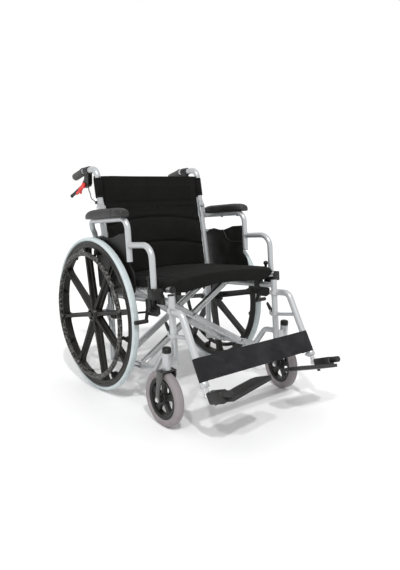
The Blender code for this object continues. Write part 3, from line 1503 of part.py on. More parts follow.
def brake_base():
    """The parking brake's plate on the upper rail, with its pins, link rod and box."""
    rail_side = FRAME_X + RAIL_R + RUNNING_GAP
    y, z = BRAKE_PIVOT_Y, BRAKE_PIVOT_Z
    plate = slab([(y + p, z + q) for p, q in BASE_OUTLINE], BASE_INNER, BASE_OUTER)
    clamp = box(
        (rail_side, y + CLAMP_PLATE_Y[0], UPPER_RAIL_Z - CLAMP_PLATE_BELOW),
        (BASE_INNER + BASE_LAP, y + CLAMP_PLATE_Y[1], UPPER_RAIL_Z + CLAMP_PLATE_ABOVE),
    )
    root = BASE_INNER + BASE_LAP
    pins = []
    for (y, z), inner, outer, gap, nut in (
        ((BRAKE_PIVOT_Y, BRAKE_PIVOT_Z), root, LEVER_OUTER, BASE_LAP, BRAKE_NUT_LENGTH),
        ((SHOE_PIVOT_Y, SHOE_PIVOT_Z), root, SHOE_ARM_OUTER, SHOE_PIN_LAP, SHOE_NUT_LENGTH),
    ):
        pins.append(rod((inner, y, z), (outer + gap, y, z), BRAKE_PIN_R))
        pins.append(rod((outer + RUNNING_GAP, y, z), (outer + nut, y, z), BRAKE_NUT_R))
    y, z = BRAKE_PIVOT_Y, BRAKE_PIVOT_Z
    pins.append(rod((root, y, z), (LEVER_INNER - RUNNING_GAP, y, z), BRAKE_SPACER_R))
    rod_front = (LINK_ROD_X, y + LINK_ROD_FRONT[0], z + LINK_ROD_FRONT[1])
    rod_rear = (LINK_ROD_X, LINK_BOX_Y, LINK_BOX_Z)
    link = rod(rod_front, rod_rear, LINK_ROD_R)
    length, height = LINK_BOX_HALF_LENGTH, LINK_BOX_HALF_HEIGHT
    low = (LINK_ROD_X - LINK_BOX_IN, LINK_BOX_Y - length, LINK_BOX_Z - height)
    high = (LINK_ROD_X + LINK_BOX_OUT, LINK_BOX_Y + length, LINK_BOX_Z + height)
    housing = box(low, high, LINK_BOX_BEVEL)
    post_front = rear_post_y(LINK_BOX_Z) - CANE_R
    foot, head = LINK_BOX_Z - STAY_HALF, LINK_BOX_Z + STAY_HALF
    stay = box(
        (FRAME_X - STAY_IN, post_front - STAY_DEPTH, foot),
        (FRAME_X + STAY_IN, post_front - RUNNING_GAP, head),
    )
    strip = box(
        (FRAME_X - STAY_IN, LINK_BOX_Y, foot), (FRAME_X + STAY_OUT, LINK_BOX_Y + STAY_DEPTH, head)
    )
    neck = box(
        (FRAME_X - STAY_IN, LINK_BOX_Y + NECK_START, foot),
        (FRAME_X + NECK_OUT, post_front - NECK_GAP, head),
    )
    return fused([plate, clamp, link, housing, stay, strip, neck] + pins)


def brake_lever():
    """The parking brake's hand lever with its round knob."""
    y, z = BRAKE_PIVOT_Y, BRAKE_PIVOT_Z
    outline = arc((y, z), LEVER_BOSS_R, 180, 360, 6)
    outline += [(y + p, z + q) for p, q in LEVER_REAR]
    outline += [(BRAKE_KNOB_Y + LEVER_TIP_HALF, BRAKE_KNOB_Z)]
    outline += [(BRAKE_KNOB_Y - LEVER_TIP_HALF, BRAKE_KNOB_Z)]
    outline += [(y + p, z + q) for p, q in LEVER_FRONT]
    blade = slab(outline, LEVER_INNER, LEVER_OUTER)
    middle = (LEVER_INNER + LEVER_OUTER) / 2
    knob = ball((middle, BRAKE_KNOB_Y, BRAKE_KNOB_Z), BRAKE_KNOB_R)
    low, high = LEVER_INNER - CUT_OVERRUN, LEVER_OUTER + CUT_OVERRUN
    bore = rod((low, y, z), (high, y, z), bore_radius(BRAKE_PIN_R))
    return fused([blade, knob], [bore])


def brake_shoe():
    """The arm and cross-bar that press on the tyre."""
    y, z = SHOE_PIVOT_Y, SHOE_PIVOT_Z
    lean = math.degrees(math.atan2(SHOE_Z - z, SHOE_Y - y))
    outline = arc((y, z), SHOE_BOSS_R, lean + 90, lean + 270, 6)
    outline += arc((SHOE_Y, SHOE_Z), SHOE_TIP_R, lean - 90, lean + 90, 6)
    arm = slab(outline, SHOE_ARM_INNER, SHOE_ARM_OUTER)
    bar = rod((SHOE_INNER, SHOE_Y, SHOE_Z), (SHOE_OUTER, SHOE_Y, SHOE_Z), SHOE_R)
    low, high = SHOE_ARM_INNER - CUT_OVERRUN, SHOE_ARM_OUTER + CUT_OVERRUN
    bore = rod((low, y, z), (high, y, z), bore_radius(BRAKE_PIN_R))
    return fused([arm, bar], [bore])


def handle_path():
    """The upper cane's centre line from above the hinge to the handle's end."""
    start = BACK_HINGE_Z + UPPER_CANE_START
    return rounded(
        [
            (FRAME_X, cane_y(start), start),
            (FRAME_X, HANDLE_CORNER_Y, HANDLE_CORNER_Z),
            (HANDLE_X, HANDLE_BREAK_Y, HANDLE_TOP_Z),
            (HANDLE_X, HANDLE_END_Y, HANDLE_END_Z),
        ],
        HANDLE_BEND,
        4,
    )


def upper_cane():
    """The upper cane bent into the push handle, with the hinge tongue below."""
    y, z = cane_y(BACK_HINGE_Z), BACK_HINGE_Z
    reach = HINGE_R - TONGUE_STEP
    shape = [(y + p, z + q) for p, q in arc((0, 0), reach, 180, 360, 5)]
    top = z + UPPER_CANE_START + TONGUE_LAP
    shape += [(cane_y(top) + reach, top), (cane_y(top) - reach, top)]
    tongue = slab(shape, FRAME_X - HINGE_TONGUE_HALF, FRAME_X + HINGE_TONGUE_HALF)
    through = HINGE_TONGUE_HALF + CUT_OVERRUN
    bore = rod((FRAME_X - through, y, z), (FRAME_X + through, y, z), bore_radius(HINGE_PIN_R))
    clip_z = z + UPPER_CANE_START + CLIP_Z
    clip = box(
        (FRAME_X - CLIP_IN, cane_y(clip_z), clip_z - CLIP_HALF),
        (FRAME_X + CLIP_OUT, cane_y(clip_z) + CANE_R + CLIP_DEPTH, clip_z + CLIP_HALF),
    )
    cable = tube(smooth_route(cable_route(), CABLE_STEP), CABLE_R + SOFT_GAP, 2)
    return fused([tube(handle_path(), CANE_R), tongue, clip], [bore, cable])


def handle_run(y):
    """A place on the level run of the handle."""
    share = (y - HANDLE_CORNER_Y) / (HANDLE_BREAK_Y - HANDLE_CORNER_Y)
    corner = Vector((FRAME_X, HANDLE_CORNER_Y, HANDLE_CORNER_Z))
    return corner.lerp(Vector((HANDLE_X, HANDLE_BREAK_Y, HANDLE_TOP_Z)), share)


def handle_direction():
    """The push handle's direction along the grip, rearward."""
    return Vector((0, HANDLE_END_Y - HANDLE_BREAK_Y, HANDLE_END_Z - HANDLE_TOP_Z)).normalized()


def grip():
    """The ribbed hand grip, with a closed rear end."""
    way = handle_direction()
    end = Vector((HANDLE_X, HANDLE_END_Y, HANDLE_END_Z))
    length = (HANDLE_END_Y - GRIP_START_Y) / way.y
    inner = CANE_R + RUNNING_GAP
    outer = CANE_R + GRIP_WALL
    corner = across_flats(inner, GRIP_SIDES)
    profile = [(length + RUNNING_GAP, 0.0), (length + RUNNING_GAP, corner), (0.0, corner)]
    profile += [(0.0, outer + GRIP_FLANGE), (GRIP_FLANGE_LENGTH, outer + GRIP_FLANGE)]
    step = (length - GRIP_PLAIN_END) / GRIP_RIBS
    for i in range(GRIP_RIBS):
        x = GRIP_RIB_START + i * step
        profile += [(x, outer - GRIP_RIB_DEPTH), (x + step * 0.3, outer), (x + step * 0.8, outer)]
    profile.append((length + GRIP_END_ROUND, outer))
    profile += [(length + GRIP_END_REACH, GRIP_END_R), (length + GRIP_END_REACH, 0.0)]
    sleeve = turned(profile, GRIP_SIDES)
    turn = way.to_track_quat("X", "Z").to_matrix().to_4x4()
    return moved(sleeve, Matrix.Translation(end - way * length) @ turn)


def handle_brake_clamp():
    """The attendant brake's clamp round the handle, with its hanging housing."""
    z = HANDLE_TOP_Z
    x = HANDLE_X
    ring = rod(handle_run(CLAMP_START_Y), handle_run(CLAMP_END_Y), CANE_R + CLAMP_WALL)
    outline = [(CLAMP_START_Y + p, z + q) for p, q in BRAKE_BODY_OUTLINE]
    body = slab(outline, x - BRAKE_BODY_HALF, x + BRAKE_BODY_HALF)
    slot = box(
        (x - BRAKE_SLOT_HALF, CLAMP_START_Y + BRAKE_SLOT_Y[0], z + BRAKE_SLOT_Z[0]),
        (x + BRAKE_SLOT_HALF, CLAMP_START_Y + BRAKE_SLOT_Y[1], z + BRAKE_SLOT_Z[1]),
    )
    clamped = fused([ring, body], [slot, handle_bore()])
    pin = rod(
        (x - BRAKE_BODY_HALF + HANDLE_PIN_INSET, HANDLE_PIVOT_Y, HANDLE_PIVOT_Z),
        (x + BRAKE_BODY_HALF - HANDLE_PIN_INSET, HANDLE_PIVOT_Y, HANDLE_PIVOT_Z),
        HANDLE_PIN_R,
        ROUND,
    )
    catch_pin = rod(
        (x + BRAKE_BODY_HALF - CATCH_PIN_LAP, CATCH_PIVOT_Y, CATCH_PIVOT_Z),
        (
            x + BRAKE_BODY_HALF + RUNNING_GAP + CATCH_THICK + CATCH_PIN_LAP,
            CATCH_PIVOT_Y,
            CATCH_PIVOT_Z,
        ),
        CATCH_PIN_R,
    )
    return fused([clamped, pin, catch_pin])


def handle_bore():
    """The room for the cane inside the clamp."""
    start = handle_run(CLAMP_START_Y - CLAMP_BORE_OVERRUN)
    end = handle_run(CLAMP_END_Y + CLAMP_BORE_OVERRUN)
    return rod(start, end, bore_radius(CANE_R))


def handle_lever():
    """The attendant brake's lever, ending in a ball."""
    pivot = Vector((0, HANDLE_PIVOT_Y, HANDLE_PIVOT_Z))
    end = Vector((0, HANDLE_LEVER_Y, HANDLE_LEVER_Z))
    way = (end - pivot).normalized()
    side = Vector((0, -way.z, way.y))
    length = (end - pivot).length
    tip = ((length, -HANDLE_LEVER_TIP), (length, HANDLE_LEVER_TIP))
    outline = [
        pivot + way * along + side * out
        for along, out in HANDLE_LEVER_UNDER + tip + HANDLE_LEVER_OVER
    ]
    x = HANDLE_X
    half = BRAKE_SLOT_HALF - HANDLE_LEVER_PLAY
    blade = slab([(p.y, p.z) for p in outline], x - half, x + half)
    knob = ball((x, HANDLE_LEVER_Y, HANDLE_LEVER_Z), HANDLE_BALL_R)
    bore = rod(
        (x - CUT_OVERRUN, HANDLE_PIVOT_Y, HANDLE_PIVOT_Z),
        (x + CUT_OVERRUN, HANDLE_PIVOT_Y, HANDLE_PIVOT_Z),
        bore_radius(HANDLE_PIN_R),
    )
    return fused([blade, knob], [bore])


def brake_catch():
    """The red catch that locks the attendant brake."""
    y, z = CATCH_PIVOT_Y, CATCH_PIVOT_Z
    outline = arc((y, z), CATCH_BOSS_R, 60, 240, 5)
    outline += [(y + p, z + q) for p, q in CATCH_UNDER]
    outline += [(CATCH_END_Y + p, CATCH_END_Z + q) for p, q in CATCH_TIP]
    outline += [(y + p, z + q) for p, q in CATCH_OVER]
    low = HANDLE_X + BRAKE_BODY_HALF + RUNNING_GAP
    plate = slab(outline, low, low + CATCH_THICK)
    start, end = low - CUT_OVERRUN, low + CATCH_THICK + CUT_OVERRUN
    bore = rod((start, y, z), (end, y, z), bore_radius(CATCH_PIN_R))
    return fused([plate], [bore])


def cable_route():
    """The places that the brake cable passes, from the handle to the rear box."""
    route = [
        (HANDLE_X + x, CLAMP_START_Y + y, HANDLE_TOP_Z + z) for x, y, z in CABLE_FROM_HANDLE
    ]
    behind = CANE_R + CABLE_R + SOFT_GAP
    route += [(FRAME_X + x, cane_y(z) + behind, z) for x, z in CABLE_ON_CANE]
    x, z = CABLE_LEAVES_CANE
    route.append((FRAME_X + x, cane_y(z) + CANE_R, z))
    route += [(FRAME_X + x, y, z) for x, y, z in CABLE_BELOW]
    box_top = LINK_BOX_Z + LINK_BOX_HALF_HEIGHT + RUNNING_GAP
    return route + [(LINK_ROD_X, LINK_BOX_Y, box_top)]


def smooth_route(points, step):
    """Points at a steady step along a Catmull-Rom curve through some places."""
    places = [Vector(p) for p in points]
    places = [places[0] * 2 - places[1]] + places + [places[-1] * 2 - places[-2]]
    dense = []
    for a, b, c, d in zip(places, places[1:], places[2:], places[3:]):
        for i in range(24):
            t = i / 24
            dense.append(
                0.5
                * (
                    2 * b
                    + (c - a) * t
                    + (2 * a - 5 * b + 4 * c - d) * t * t
                    + (3 * b - a - 3 * c + d) * t**3
                )
            )
    dense.append(places[-2])
    path = [dense[0]]
    gone = 0.0
    for near, far in zip(dense, dense[1:]):
        gone += (far - near).length
        if gone >= step:
            path.append(far)
            gone = 0.0
    if (path[-1] - dense[-1]).length < step / 2:
        path.pop()
    path.append(dense[-1])
    return path


def brake_cable():
    """The brake cable from the handle's housing down the cane to the rear box."""
    return tube(smooth_route(cable_route(), CABLE_STEP), CABLE_R, 2)


def seam_groove(x, z):
    """How deep the stitched channels press in at a place on the back."""
    depth = 0.0
    for seam in (SEAM_ONE_Z, SEAM_TWO_Z):
        centre = seam - SEAM_DROP * (x / BACK_LOWER_HALF) ** 2
        depth += SEAM_DEPTH * math.exp(-(((z - centre) / SEAM_WIDTH) ** 2))
    return depth


def back_panel(widest, low, high, columns, rows):
    """A padded panel between the canes: crowned channels, hollow at the middle."""
    bm = bmesh.new()
    fronts, backs = [], []
    for j in range(rows + 1):
        z = low + (high - low) * j / rows
        half = BACK_HINGE_HALF if BACK_HINGE_ROOM < z < BACK_SLEEVE_BOTTOM else widest
        front_row, back_row = [], []
        for i in range(columns + 1):
            x = -half + 2 * half * i / columns
            bow = BACK_BOW * (1 - (x / half) ** 2)
            ends = min(z - low, high - z) / BACK_END_ROUND
            edge = min((half - abs(x)) / BACK_EDGE_ROUND, ends, 1.0)
            puff = BACK_THICK / 2 * (0.45 + 0.55 * math.sqrt(max(edge, 0.0)))
            middle = cane_y(z) + bow
            pressed = seam_groove(x, z) * edge
            front_row.append(bm.verts.new((x, middle - puff + pressed, z)))
            back_row.append(bm.verts.new((x, middle + puff, z)))
        fronts.append(front_row)
        backs.append(back_row)
    for rows_of, flip in ((fronts, False), (backs, True)):
        for near, far in zip(rows_of, rows_of[1:]):
            for i in range(columns):
                loop = (near[i], near[i + 1], far[i + 1], far[i])
                bm.faces.new(reversed(loop) if flip else loop)
    for i in range(columns):
        bm.faces.new((backs[0][i], backs[0][i + 1], fronts[0][i + 1], fronts[0][i]))
        bm.faces.new((fronts[-1][i], fronts[-1][i + 1], backs[-1][i + 1], backs[-1][i]))
    for j in range(rows):
        bm.faces.new((fronts[j][0], fronts[j + 1][0], backs[j + 1][0], backs[j][0]))
        bm.faces.new((backs[j][-1], backs[j + 1][-1], fronts[j + 1][-1], fronts[j][-1]))
    return finished(bm)


def back_lower():
    """The lower back panel, laced between the lower canes."""
    return back_panel(BACK_LOWER_HALF, BACK_LOWER_BOTTOM, BACK_LOWER_TOP, 14, 13)


def back_upper():
    """The upper back panel, sleeved over the upper canes."""
    middle = back_panel(BACK_LOWER_HALF, BACK_UPPER_BOTTOM, BACK_UPPER_TOP, 12, 5)
    sleeves = []
    cuts = []
    for side in (-1, 1):
        x = side * FRAME_X
        low, high = BACK_SLEEVE_BOTTOM, BACK_UPPER_TOP
        outer = BACK_UPPER_HALF - FRAME_X
        sleeves.append(
            rod((x, cane_y(low), low), (x, cane_y(high), high), outer)
        )
        ends = sorted((x, x - side * BACK_WEB_REACH))
        y = cane_y((low + high) / 2)
        sleeves.append(
            box((ends[0], y - BACK_WEB_HALF, low), (ends[1], y + BACK_WEB_HALF, high))
        )
    path = handle_path()
    for side in (-1, 1):
        route = [Vector((p.x * side, p.y, p.z)) for p in path]
        cuts.append(tube(route, CANE_R + SOFT_GAP))
    return fused([middle] + sleeves, cuts)


def seat():
    """The seat: a crowned cushion with drawn-in sides wrapped over both rails."""
    rings = []
    stations = 10
    room = RAIL_R + SOFT_GAP
    for k in range(stations + 1):
        t = k / stations
        y = SEAT_FRONT + (SEAT_REAR - SEAT_FRONT) * t
        roll = math.sqrt(max(0.0, 1 - max(0.0, 1 - t / 0.12) ** 2))
        tail = math.sqrt(max(0.0, 1 - max(0.0, (t - 0.90) / 0.10) ** 2))
        full = 0.45 + 0.55 * min(roll, tail)
        crown = SEAT_EDGE_TOP + (SEAT_CROWN - SEAT_EDGE_TOP) * full
        edge = SEAT_RAIL_Z + room + (SEAT_EDGE_TOP - SEAT_RAIL_Z - room) * full
        under = SEAT_UNDERSIDE
        arch = SEAT_ARCH * (1 - t) ** 3
        ring = []
        for i in range(11):
            x = -1 + 2 * i / 10
            top = edge + (crown - edge) * (1 - x * x)
            ring.append((x * (SEAT_HALF - SEAT_TOP_IN), y, top))
        side = [
            (SEAT_HALF - SEAT_SHOULDER[0], y, edge - SEAT_SHOULDER[1]),
            (SEAT_HALF, y, SEAT_RAIL_Z),
            (SEAT_HALF - SEAT_SKIRT[0], y, SEAT_RAIL_Z - SEAT_SKIRT[1]),
            (FRAME_X - room - SEAT_TUCK[0], y, SEAT_RAIL_Z + RAIL_R + SEAT_TUCK[1]),
        ]
        ring += side
        for i in range(7):
            x = 1 - 2 * i / 6
            bottom = under + arch * (1 - x * x)
            ring.append((x * SEAT_FLAT_HALF, y, bottom))
        ring += [(-p, y, z) for p, y, z in reversed(side)]
        rings.append(ring)
    cuts = []
    for side in (-1, 1):
        x = side * FRAME_X
        front, back = SEAT_RAIL_FRONT - SEAT_CUT_FRONT, SEAT_REAR + SEAT_CUT_REAR
        run = (x, front, SEAT_RAIL_Z), (x, back, SEAT_RAIL_Z)
        cuts.append(rod(*run, bore_radius(RAIL_R, SOFT_GAP)))
        below = SEAT_UNDERSIDE - SEAT_CUT_REAR
        cuts.append(box((x - room, front, below), (x + room, back, SEAT_RAIL_Z)))
        for leg in BRACE_A_Y if side > 0 else BRACE_B_Y:
            half = BRACE_THICK / 2 + SEAT_SLOT_MARGIN
            ends = sorted((x, x - side * SEAT_SLOT_REACH))
            roof = SEAT_RAIL_Z + BRACE_WIDTH / 2 + SEAT_SLOT_MARGIN
            floor = SEAT_UNDERSIDE - SEAT_SLOT_BELOW
            cuts.append(box((ends[0], leg - half, floor), (ends[1], leg + half, roof)))
    return fused([lofted(rings)], cuts)


def calf_strap():
    """The calf strap across the hangers, lapped round both tubes."""
    down = slant()
    across = Vector((0, down.z, -down.y))
    across = -across if across.y > 0 else across
    knee = Vector((0, HANGER_BEND_Y, HANGER_KNEE_Z))
    share = (STRAP_TOP_Y - HANGER_BEND_Y) / down.y
    top = knee + down * share
    near = HANGER_R + SOFT_GAP
    far = near + STRAP_THICK
    flap = STRAP_HALF - STRAP_FLAP
    wide, fold = STRAP_HALF, STRAP_HALF - STRAP_THICK
    sag = [(STRAP_HALF * share, drop) for share, drop in STRAP_SAG]
    dip = [(-x, drop) for x, drop in sag[:-1]] + sag[::-1]
    section = [(-wide, -far), (-wide, far)]
    section += [(x, far - drop) for x, drop in dip]
    section += [(wide, far), (wide, -far), (flap, -far), (flap, -near), (fold, -near)]
    section += [(fold, near)]
    section += [(x, near - drop) for x, drop in reversed(dip)]
    section += [(-fold, near), (-fold, -near), (-flap, -near), (-flap, -far)]
    rings = []
    for along in (0.0, STRAP_HEIGHT):
        base = top + down * along
        rings.append([base + across * v + Vector((x, 0, 0)) for x, v in section])
    return lofted(rings)


def empty(name, parent, place=(0, 0, 0), turn=(0, 0, 0)):
    """An empty that carries a set of axes."""
    holder = bpy.data.objects.new(name, None)
    bpy.context.scene.collection.objects.link(holder)
    holder.parent = parent
    holder.location = place
    holder.rotation_euler = turn
    return holder


def add(name, mesh, material, parent, pivot=(0, 0, 0)):
    """A named piece whose origin is its pivot in its parent's axes."""
    mesh.transform(Matrix.Translation(-Vector(pivot)))
    mesh.name = name
    mesh.materials.clear()
    mesh.materials.append(material)
    mesh.shade_smooth()
    mesh.set_sharp_from_angle(angle=math.radians(40))
    piece = bpy.data.objects.new(name, mesh)
    bpy.context.scene.collection.objects.link(piece)
    piece.parent = parent
    piece.location = pivot
    return piece


def add_pair(name, mesh, material, parent, pivot=(0, 0, 0)):
    """A piece on the left and its mirror image on the right."""
    x, y, z = pivot
    twin = moved(mesh.copy(), MIRROR)
    add(name + "_left", mesh, material, parent, (x, y, z))
    add(name + "_right", twin, material, parent, (-x, y, z))


def add_castor(side, name, yaw, chair, finish):
    """One castor: its fork, wheel and tyre turned about the stem."""
    swivel = empty("castor_swivel_" + name, chair, (side * STEM_X, STEM_Y, 0), (0, 0, yaw))
    add("castor_fork_" + name, castor_fork(), finish["black_plastic"], swivel)
    for piece, mesh, look in (
        ("castor_wheel_", castor_wheel(), "black_plastic"),
        ("castor_tyre_", castor_tyre(), "castor_rubber"),
    ):
        made = add(piece + name, mesh, finish[look], swivel)
        made.location = (0, CASTOR_TRAIL, CASTOR_R)


def centre_on_floor(chair):
    """Move the chair so that its bounding box stands centred on the origin."""
    bpy.context.view_layer.update()
    low, high = math.inf, -math.inf
    for piece in bpy.data.objects:
        if piece.type == "MESH":
            for corner in piece.bound_box:
                y = (piece.matrix_world @ Vector(corner)).y
                low, high = min(low, y), max(high, y)
    chair.location.y -= (low + high) / 2
    bpy.context.view_layer.update()


def main():
    clear_scene()
    finish = make_materials()
    chair = empty("chair", None)
    frame = empty("frame", chair, (0, 0, AXLE_HEIGHT), (-RAKE, 0, 0))
    silver, chrome = finish["silver_paint"], finish["chrome"]
    black, fabric = finish["black_plastic"], finish["black_fabric"]

    lower_rail = (FRAME_X, 0, LOWER_RAIL_Z)
    axle = (WHEEL_X, 0, AXLE_HEIGHT)
    arm_pivot = (ARM_FOOT_X, ARM_PIVOT_Y, ARM_PIVOT_Z)
    hanger_pivot = (FRAME_X, FRONT_POST_Y, HANGER_TOP_Z)
    back_pivot = (FRAME_X, cane_y(BACK_HINGE_Z), BACK_HINGE_Z)
    lever_pivot = (LEVER_INNER, BRAKE_PIVOT_Y, BRAKE_PIVOT_Z)
    shoe_pivot = (SHOE_ARM_INNER, SHOE_PIVOT_Y, SHOE_PIVOT_Z)
    handle_pivot = (HANDLE_X, HANDLE_PIVOT_Y, HANDLE_PIVOT_Z)
    catch_pivot = (HANDLE_X, CATCH_PIVOT_Y, CATCH_PIVOT_Z)
    wheel_shift = Matrix.Translation((0, 0, AXLE_HEIGHT))

    add_pair("side_frame", side_frame(), silver, frame, lower_rail)
    add_pair("rear_axle", rear_axle(), chrome, frame)
    add_pair("castor_cap", castor_cap(), black, frame, lower_rail)
    add_pair("wheel", moved(wheel(), wheel_shift), black, chair, axle)
    add_pair("tyre", moved(tyre(), wheel_shift), finish["grey_tyre"], chair, axle)
    add_pair("handrim", moved(handrim(), wheel_shift), black, chair, axle)
    add_castor(-1, "right", 0.0, chair, finish)
    add_castor(1, "left", CASTOR_YAW_LEFT, chair, finish)

    right_rail = (-FRAME_X, 0, LOWER_RAIL_Z)
    centre = (0, 0, (BRACE_LOWER_Z + SEAT_RAIL_Z) / 2)
    add("cross_brace_a", cross_brace(BRACE_A_Y, 1), silver, frame, right_rail)
    add("cross_brace_b", cross_brace(BRACE_B_Y, -1), silver, frame, centre)
    add("brace_pin_front", brace_pin(BRACE_A_Y[0], BRACE_B_Y[0]), chrome, frame, centre)
    add("brace_pin_rear", brace_pin(BRACE_A_Y[1], BRACE_B_Y[1]), chrome, frame, centre)

    add_pair("arm_frame", arm_frame(), silver, frame, arm_pivot)
    add_pair("arm_pad", arm_pad(), finish["pad_foam"], frame, arm_pivot)
    add_pair("side_panel", side_panel(), black, frame, arm_pivot)
    add_pair("arm_socket", arm_socket(), black, frame)

    add_pair("hanger", hanger(), silver, frame, hanger_pivot)
    add_pair("footrest_tube", footrest_tube(), chrome, frame, hanger_pivot)
    add_pair("footplate", footplate(), black, frame, foot_frame().translation)
    add_pair("hanger_lever", hanger_lever(), black, frame, (FRAME_X, LEVER_PIN_Y, LEVER_PIN_Z))

    add_pair("brake_base", brake_base(), black, frame)
    add_pair("brake_lever", brake_lever(), black, frame, lever_pivot)
    add_pair("brake_shoe", brake_shoe(), chrome, frame, shoe_pivot)

    add_pair("upper_cane", upper_cane(), silver, frame, back_pivot)
    add_pair("grip", grip(), black, frame, back_pivot)
    add_pair("handle_brake_clamp", handle_brake_clamp(), black, frame, back_pivot)
    add_pair("handle_lever", handle_lever(), black, frame, handle_pivot)
    add_pair("brake_catch", brake_catch(), finish["red_plastic"], frame, catch_pivot)
    add_pair("brake_cable", brake_cable(), black, frame)

    add("seat", seat(), fabric, frame)
    add("back_lower", back_lower(), fabric, frame)
    add("back_upper", back_upper(), fabric, frame, (0, back_pivot[1], back_pivot[2]))
    add("calf_strap", calf_strap(), finish["strap_webbing"], frame)
    centre_on_floor(chair)


main()
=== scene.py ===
# %% [markdown]
# # A folding wheelchair, dressed for a photograph
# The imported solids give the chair's true sizes and its joints. This script builds the
# fine surfaces over them: round tubes, moulded wheels, padded cloth and worn finishes.
# Each cell makes one kind of piece, and the notes say what it is on the real chair.

import json
import math

import bmesh
import bpy
from bmesh.types import BMEdge, BMFace, BMVert
from mathutils import Matrix, Vector, noise


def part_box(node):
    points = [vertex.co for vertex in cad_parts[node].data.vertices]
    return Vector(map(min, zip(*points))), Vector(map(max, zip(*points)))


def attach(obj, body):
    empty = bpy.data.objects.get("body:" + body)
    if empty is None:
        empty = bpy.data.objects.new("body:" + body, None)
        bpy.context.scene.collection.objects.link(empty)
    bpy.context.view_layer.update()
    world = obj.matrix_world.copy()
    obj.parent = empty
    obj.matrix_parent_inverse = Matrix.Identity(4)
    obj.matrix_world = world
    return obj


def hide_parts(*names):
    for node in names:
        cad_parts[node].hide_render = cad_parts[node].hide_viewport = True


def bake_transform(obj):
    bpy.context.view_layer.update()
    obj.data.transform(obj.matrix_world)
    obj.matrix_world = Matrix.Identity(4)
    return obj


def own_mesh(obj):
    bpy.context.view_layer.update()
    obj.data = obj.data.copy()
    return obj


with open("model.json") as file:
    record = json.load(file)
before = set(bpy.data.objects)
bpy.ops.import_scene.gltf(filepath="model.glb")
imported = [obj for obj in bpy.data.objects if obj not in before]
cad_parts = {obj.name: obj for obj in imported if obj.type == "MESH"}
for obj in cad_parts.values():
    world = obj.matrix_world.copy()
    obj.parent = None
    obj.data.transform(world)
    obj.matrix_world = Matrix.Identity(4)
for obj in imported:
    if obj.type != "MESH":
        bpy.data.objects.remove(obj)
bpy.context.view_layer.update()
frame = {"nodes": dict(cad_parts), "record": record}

# %% [markdown]
# The side frames lean back by 6.8 degrees about the rear axle, as they do on a chair
# whose castors stand a little high. Tubes are easier to write upright, so their points
# are given in the frame's own axes and one matrix, LEAN, takes them to the world.

# %% The frame's own axes
AXLE_HEIGHT = 0.305
RAKE = math.radians(6.8)
tyre_low, tyre_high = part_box("tyre_right")
AXLE_Y = (tyre_low.y + tyre_high.y) / 2
LEAN = Matrix.Translation((0, AXLE_Y, AXLE_HEIGHT)) @ Matrix.Rotation(-RAKE, 4, "X")
UPRIGHT = Matrix.Translation((0, AXLE_Y, 0))
SIDES = {"right": -1, "left": 1}
print("axle at y", round(AXLE_Y, 4))

# %% [markdown]
# The photograph was taken from the chair's right front, a little above seat height.
# The lens was worked out from the wheels, which are true circles of known size.

# %% The camera
CAMERA_PLACE = Vector((-1.33940856, -1.91618884 + AXLE_Y, 0.88230407))
TURN, TILT, ROLL = -0.68551638, 0.20856014, 0.01711396
LENS = 35.01


def camera_axes():
    """The camera's right, up and backward directions."""
    right = Vector((math.cos(TURN), math.sin(TURN), 0))
    low = math.cos(TILT)
    back = Vector((math.sin(TURN) * low, -math.cos(TURN) * low, math.sin(TILT)))
    up = back.cross(right)
    rolled = right * math.cos(ROLL) + up * math.sin(ROLL)
    return rolled, up * math.cos(ROLL) - right * math.sin(ROLL), back


camera = bpy.data.objects.new("camera", bpy.data.cameras.new("camera"))
bpy.context.scene.collection.objects.link(camera)
camera.data.lens = LENS
camera.data.sensor_width = 36.0
camera.data.clip_start = 0.05
turn = Matrix(camera_axes()).transposed().to_4x4()
camera.matrix_world = Matrix.Translation(CAMERA_PLACE) @ turn
bpy.context.scene.camera = camera

# %% [markdown]
# Studio light: a white room and two high lamps on the camera's side, far enough away to
# count as suns. Their crossed shadows of the footplates gave their directions. The camera
# sees the room pure white, while the room's light on the chair is a little lower, to
# leave the lamps room.

# %% Light and floor
scene = bpy.context.scene
scene.view_settings.view_transform = "Standard"
world = bpy.data.worlds.new("studio")
world.use_nodes = True
scene.world = world
ROOM_LIGHT, KEY_LIGHT, SIDE_LIGHT = 0.8, 1.15, 0.75
room = world.node_tree
seen, lit = room.nodes["Background"], room.nodes.new("ShaderNodeBackground")
for background, strength in ((seen, 1.0), (lit, ROOM_LIGHT)):
    background.inputs["Color"].default_value = (1.0, 1.0, 1.0, 1.0)
    background.inputs["Strength"].default_value = strength
either = room.nodes.new("ShaderNodeMixShader")
room.links.new(room.nodes.new("ShaderNodeLightPath").outputs["Is Camera Ray"], either.inputs[0])
room.links.new(lit.outputs[0], either.inputs[1])
room.links.new(seen.outputs[0], either.inputs[2])
room.links.new(either.outputs[0], room.nodes["World Output"].inputs["Surface"])
LAMP_SPREAD = math.radians(3)


def lamp(name, place, power):
    """A far soft lamp that shines from a place toward the chair."""
    data = bpy.data.lights.new(name, "SUN")
    data.angle, data.energy = LAMP_SPREAD, power
    holder = bpy.data.objects.new(name, data)
    scene.collection.objects.link(holder)
    holder.location = place
    holder.rotation_euler = (-Vector(place)).to_track_quat("-Z", "Y").to_euler()


def placed(name, bm):
    """Make a bmesh an object of the scene."""
    mesh = bpy.data.meshes.new(name)
    bm.to_mesh(mesh)
    bm.free()
    thing = bpy.data.objects.new(name, mesh)
    scene.collection.objects.link(thing)
    return thing


lamp("key", (-1.0, -1.9, 3.1), KEY_LIGHT)
lamp("side", (-2.0, -1.4, 3.0), SIDE_LIGHT)
bm = bmesh.new()
bmesh.ops.create_grid(bm, x_segments=1, y_segments=1, size=14)
floor = placed("floor", bm)

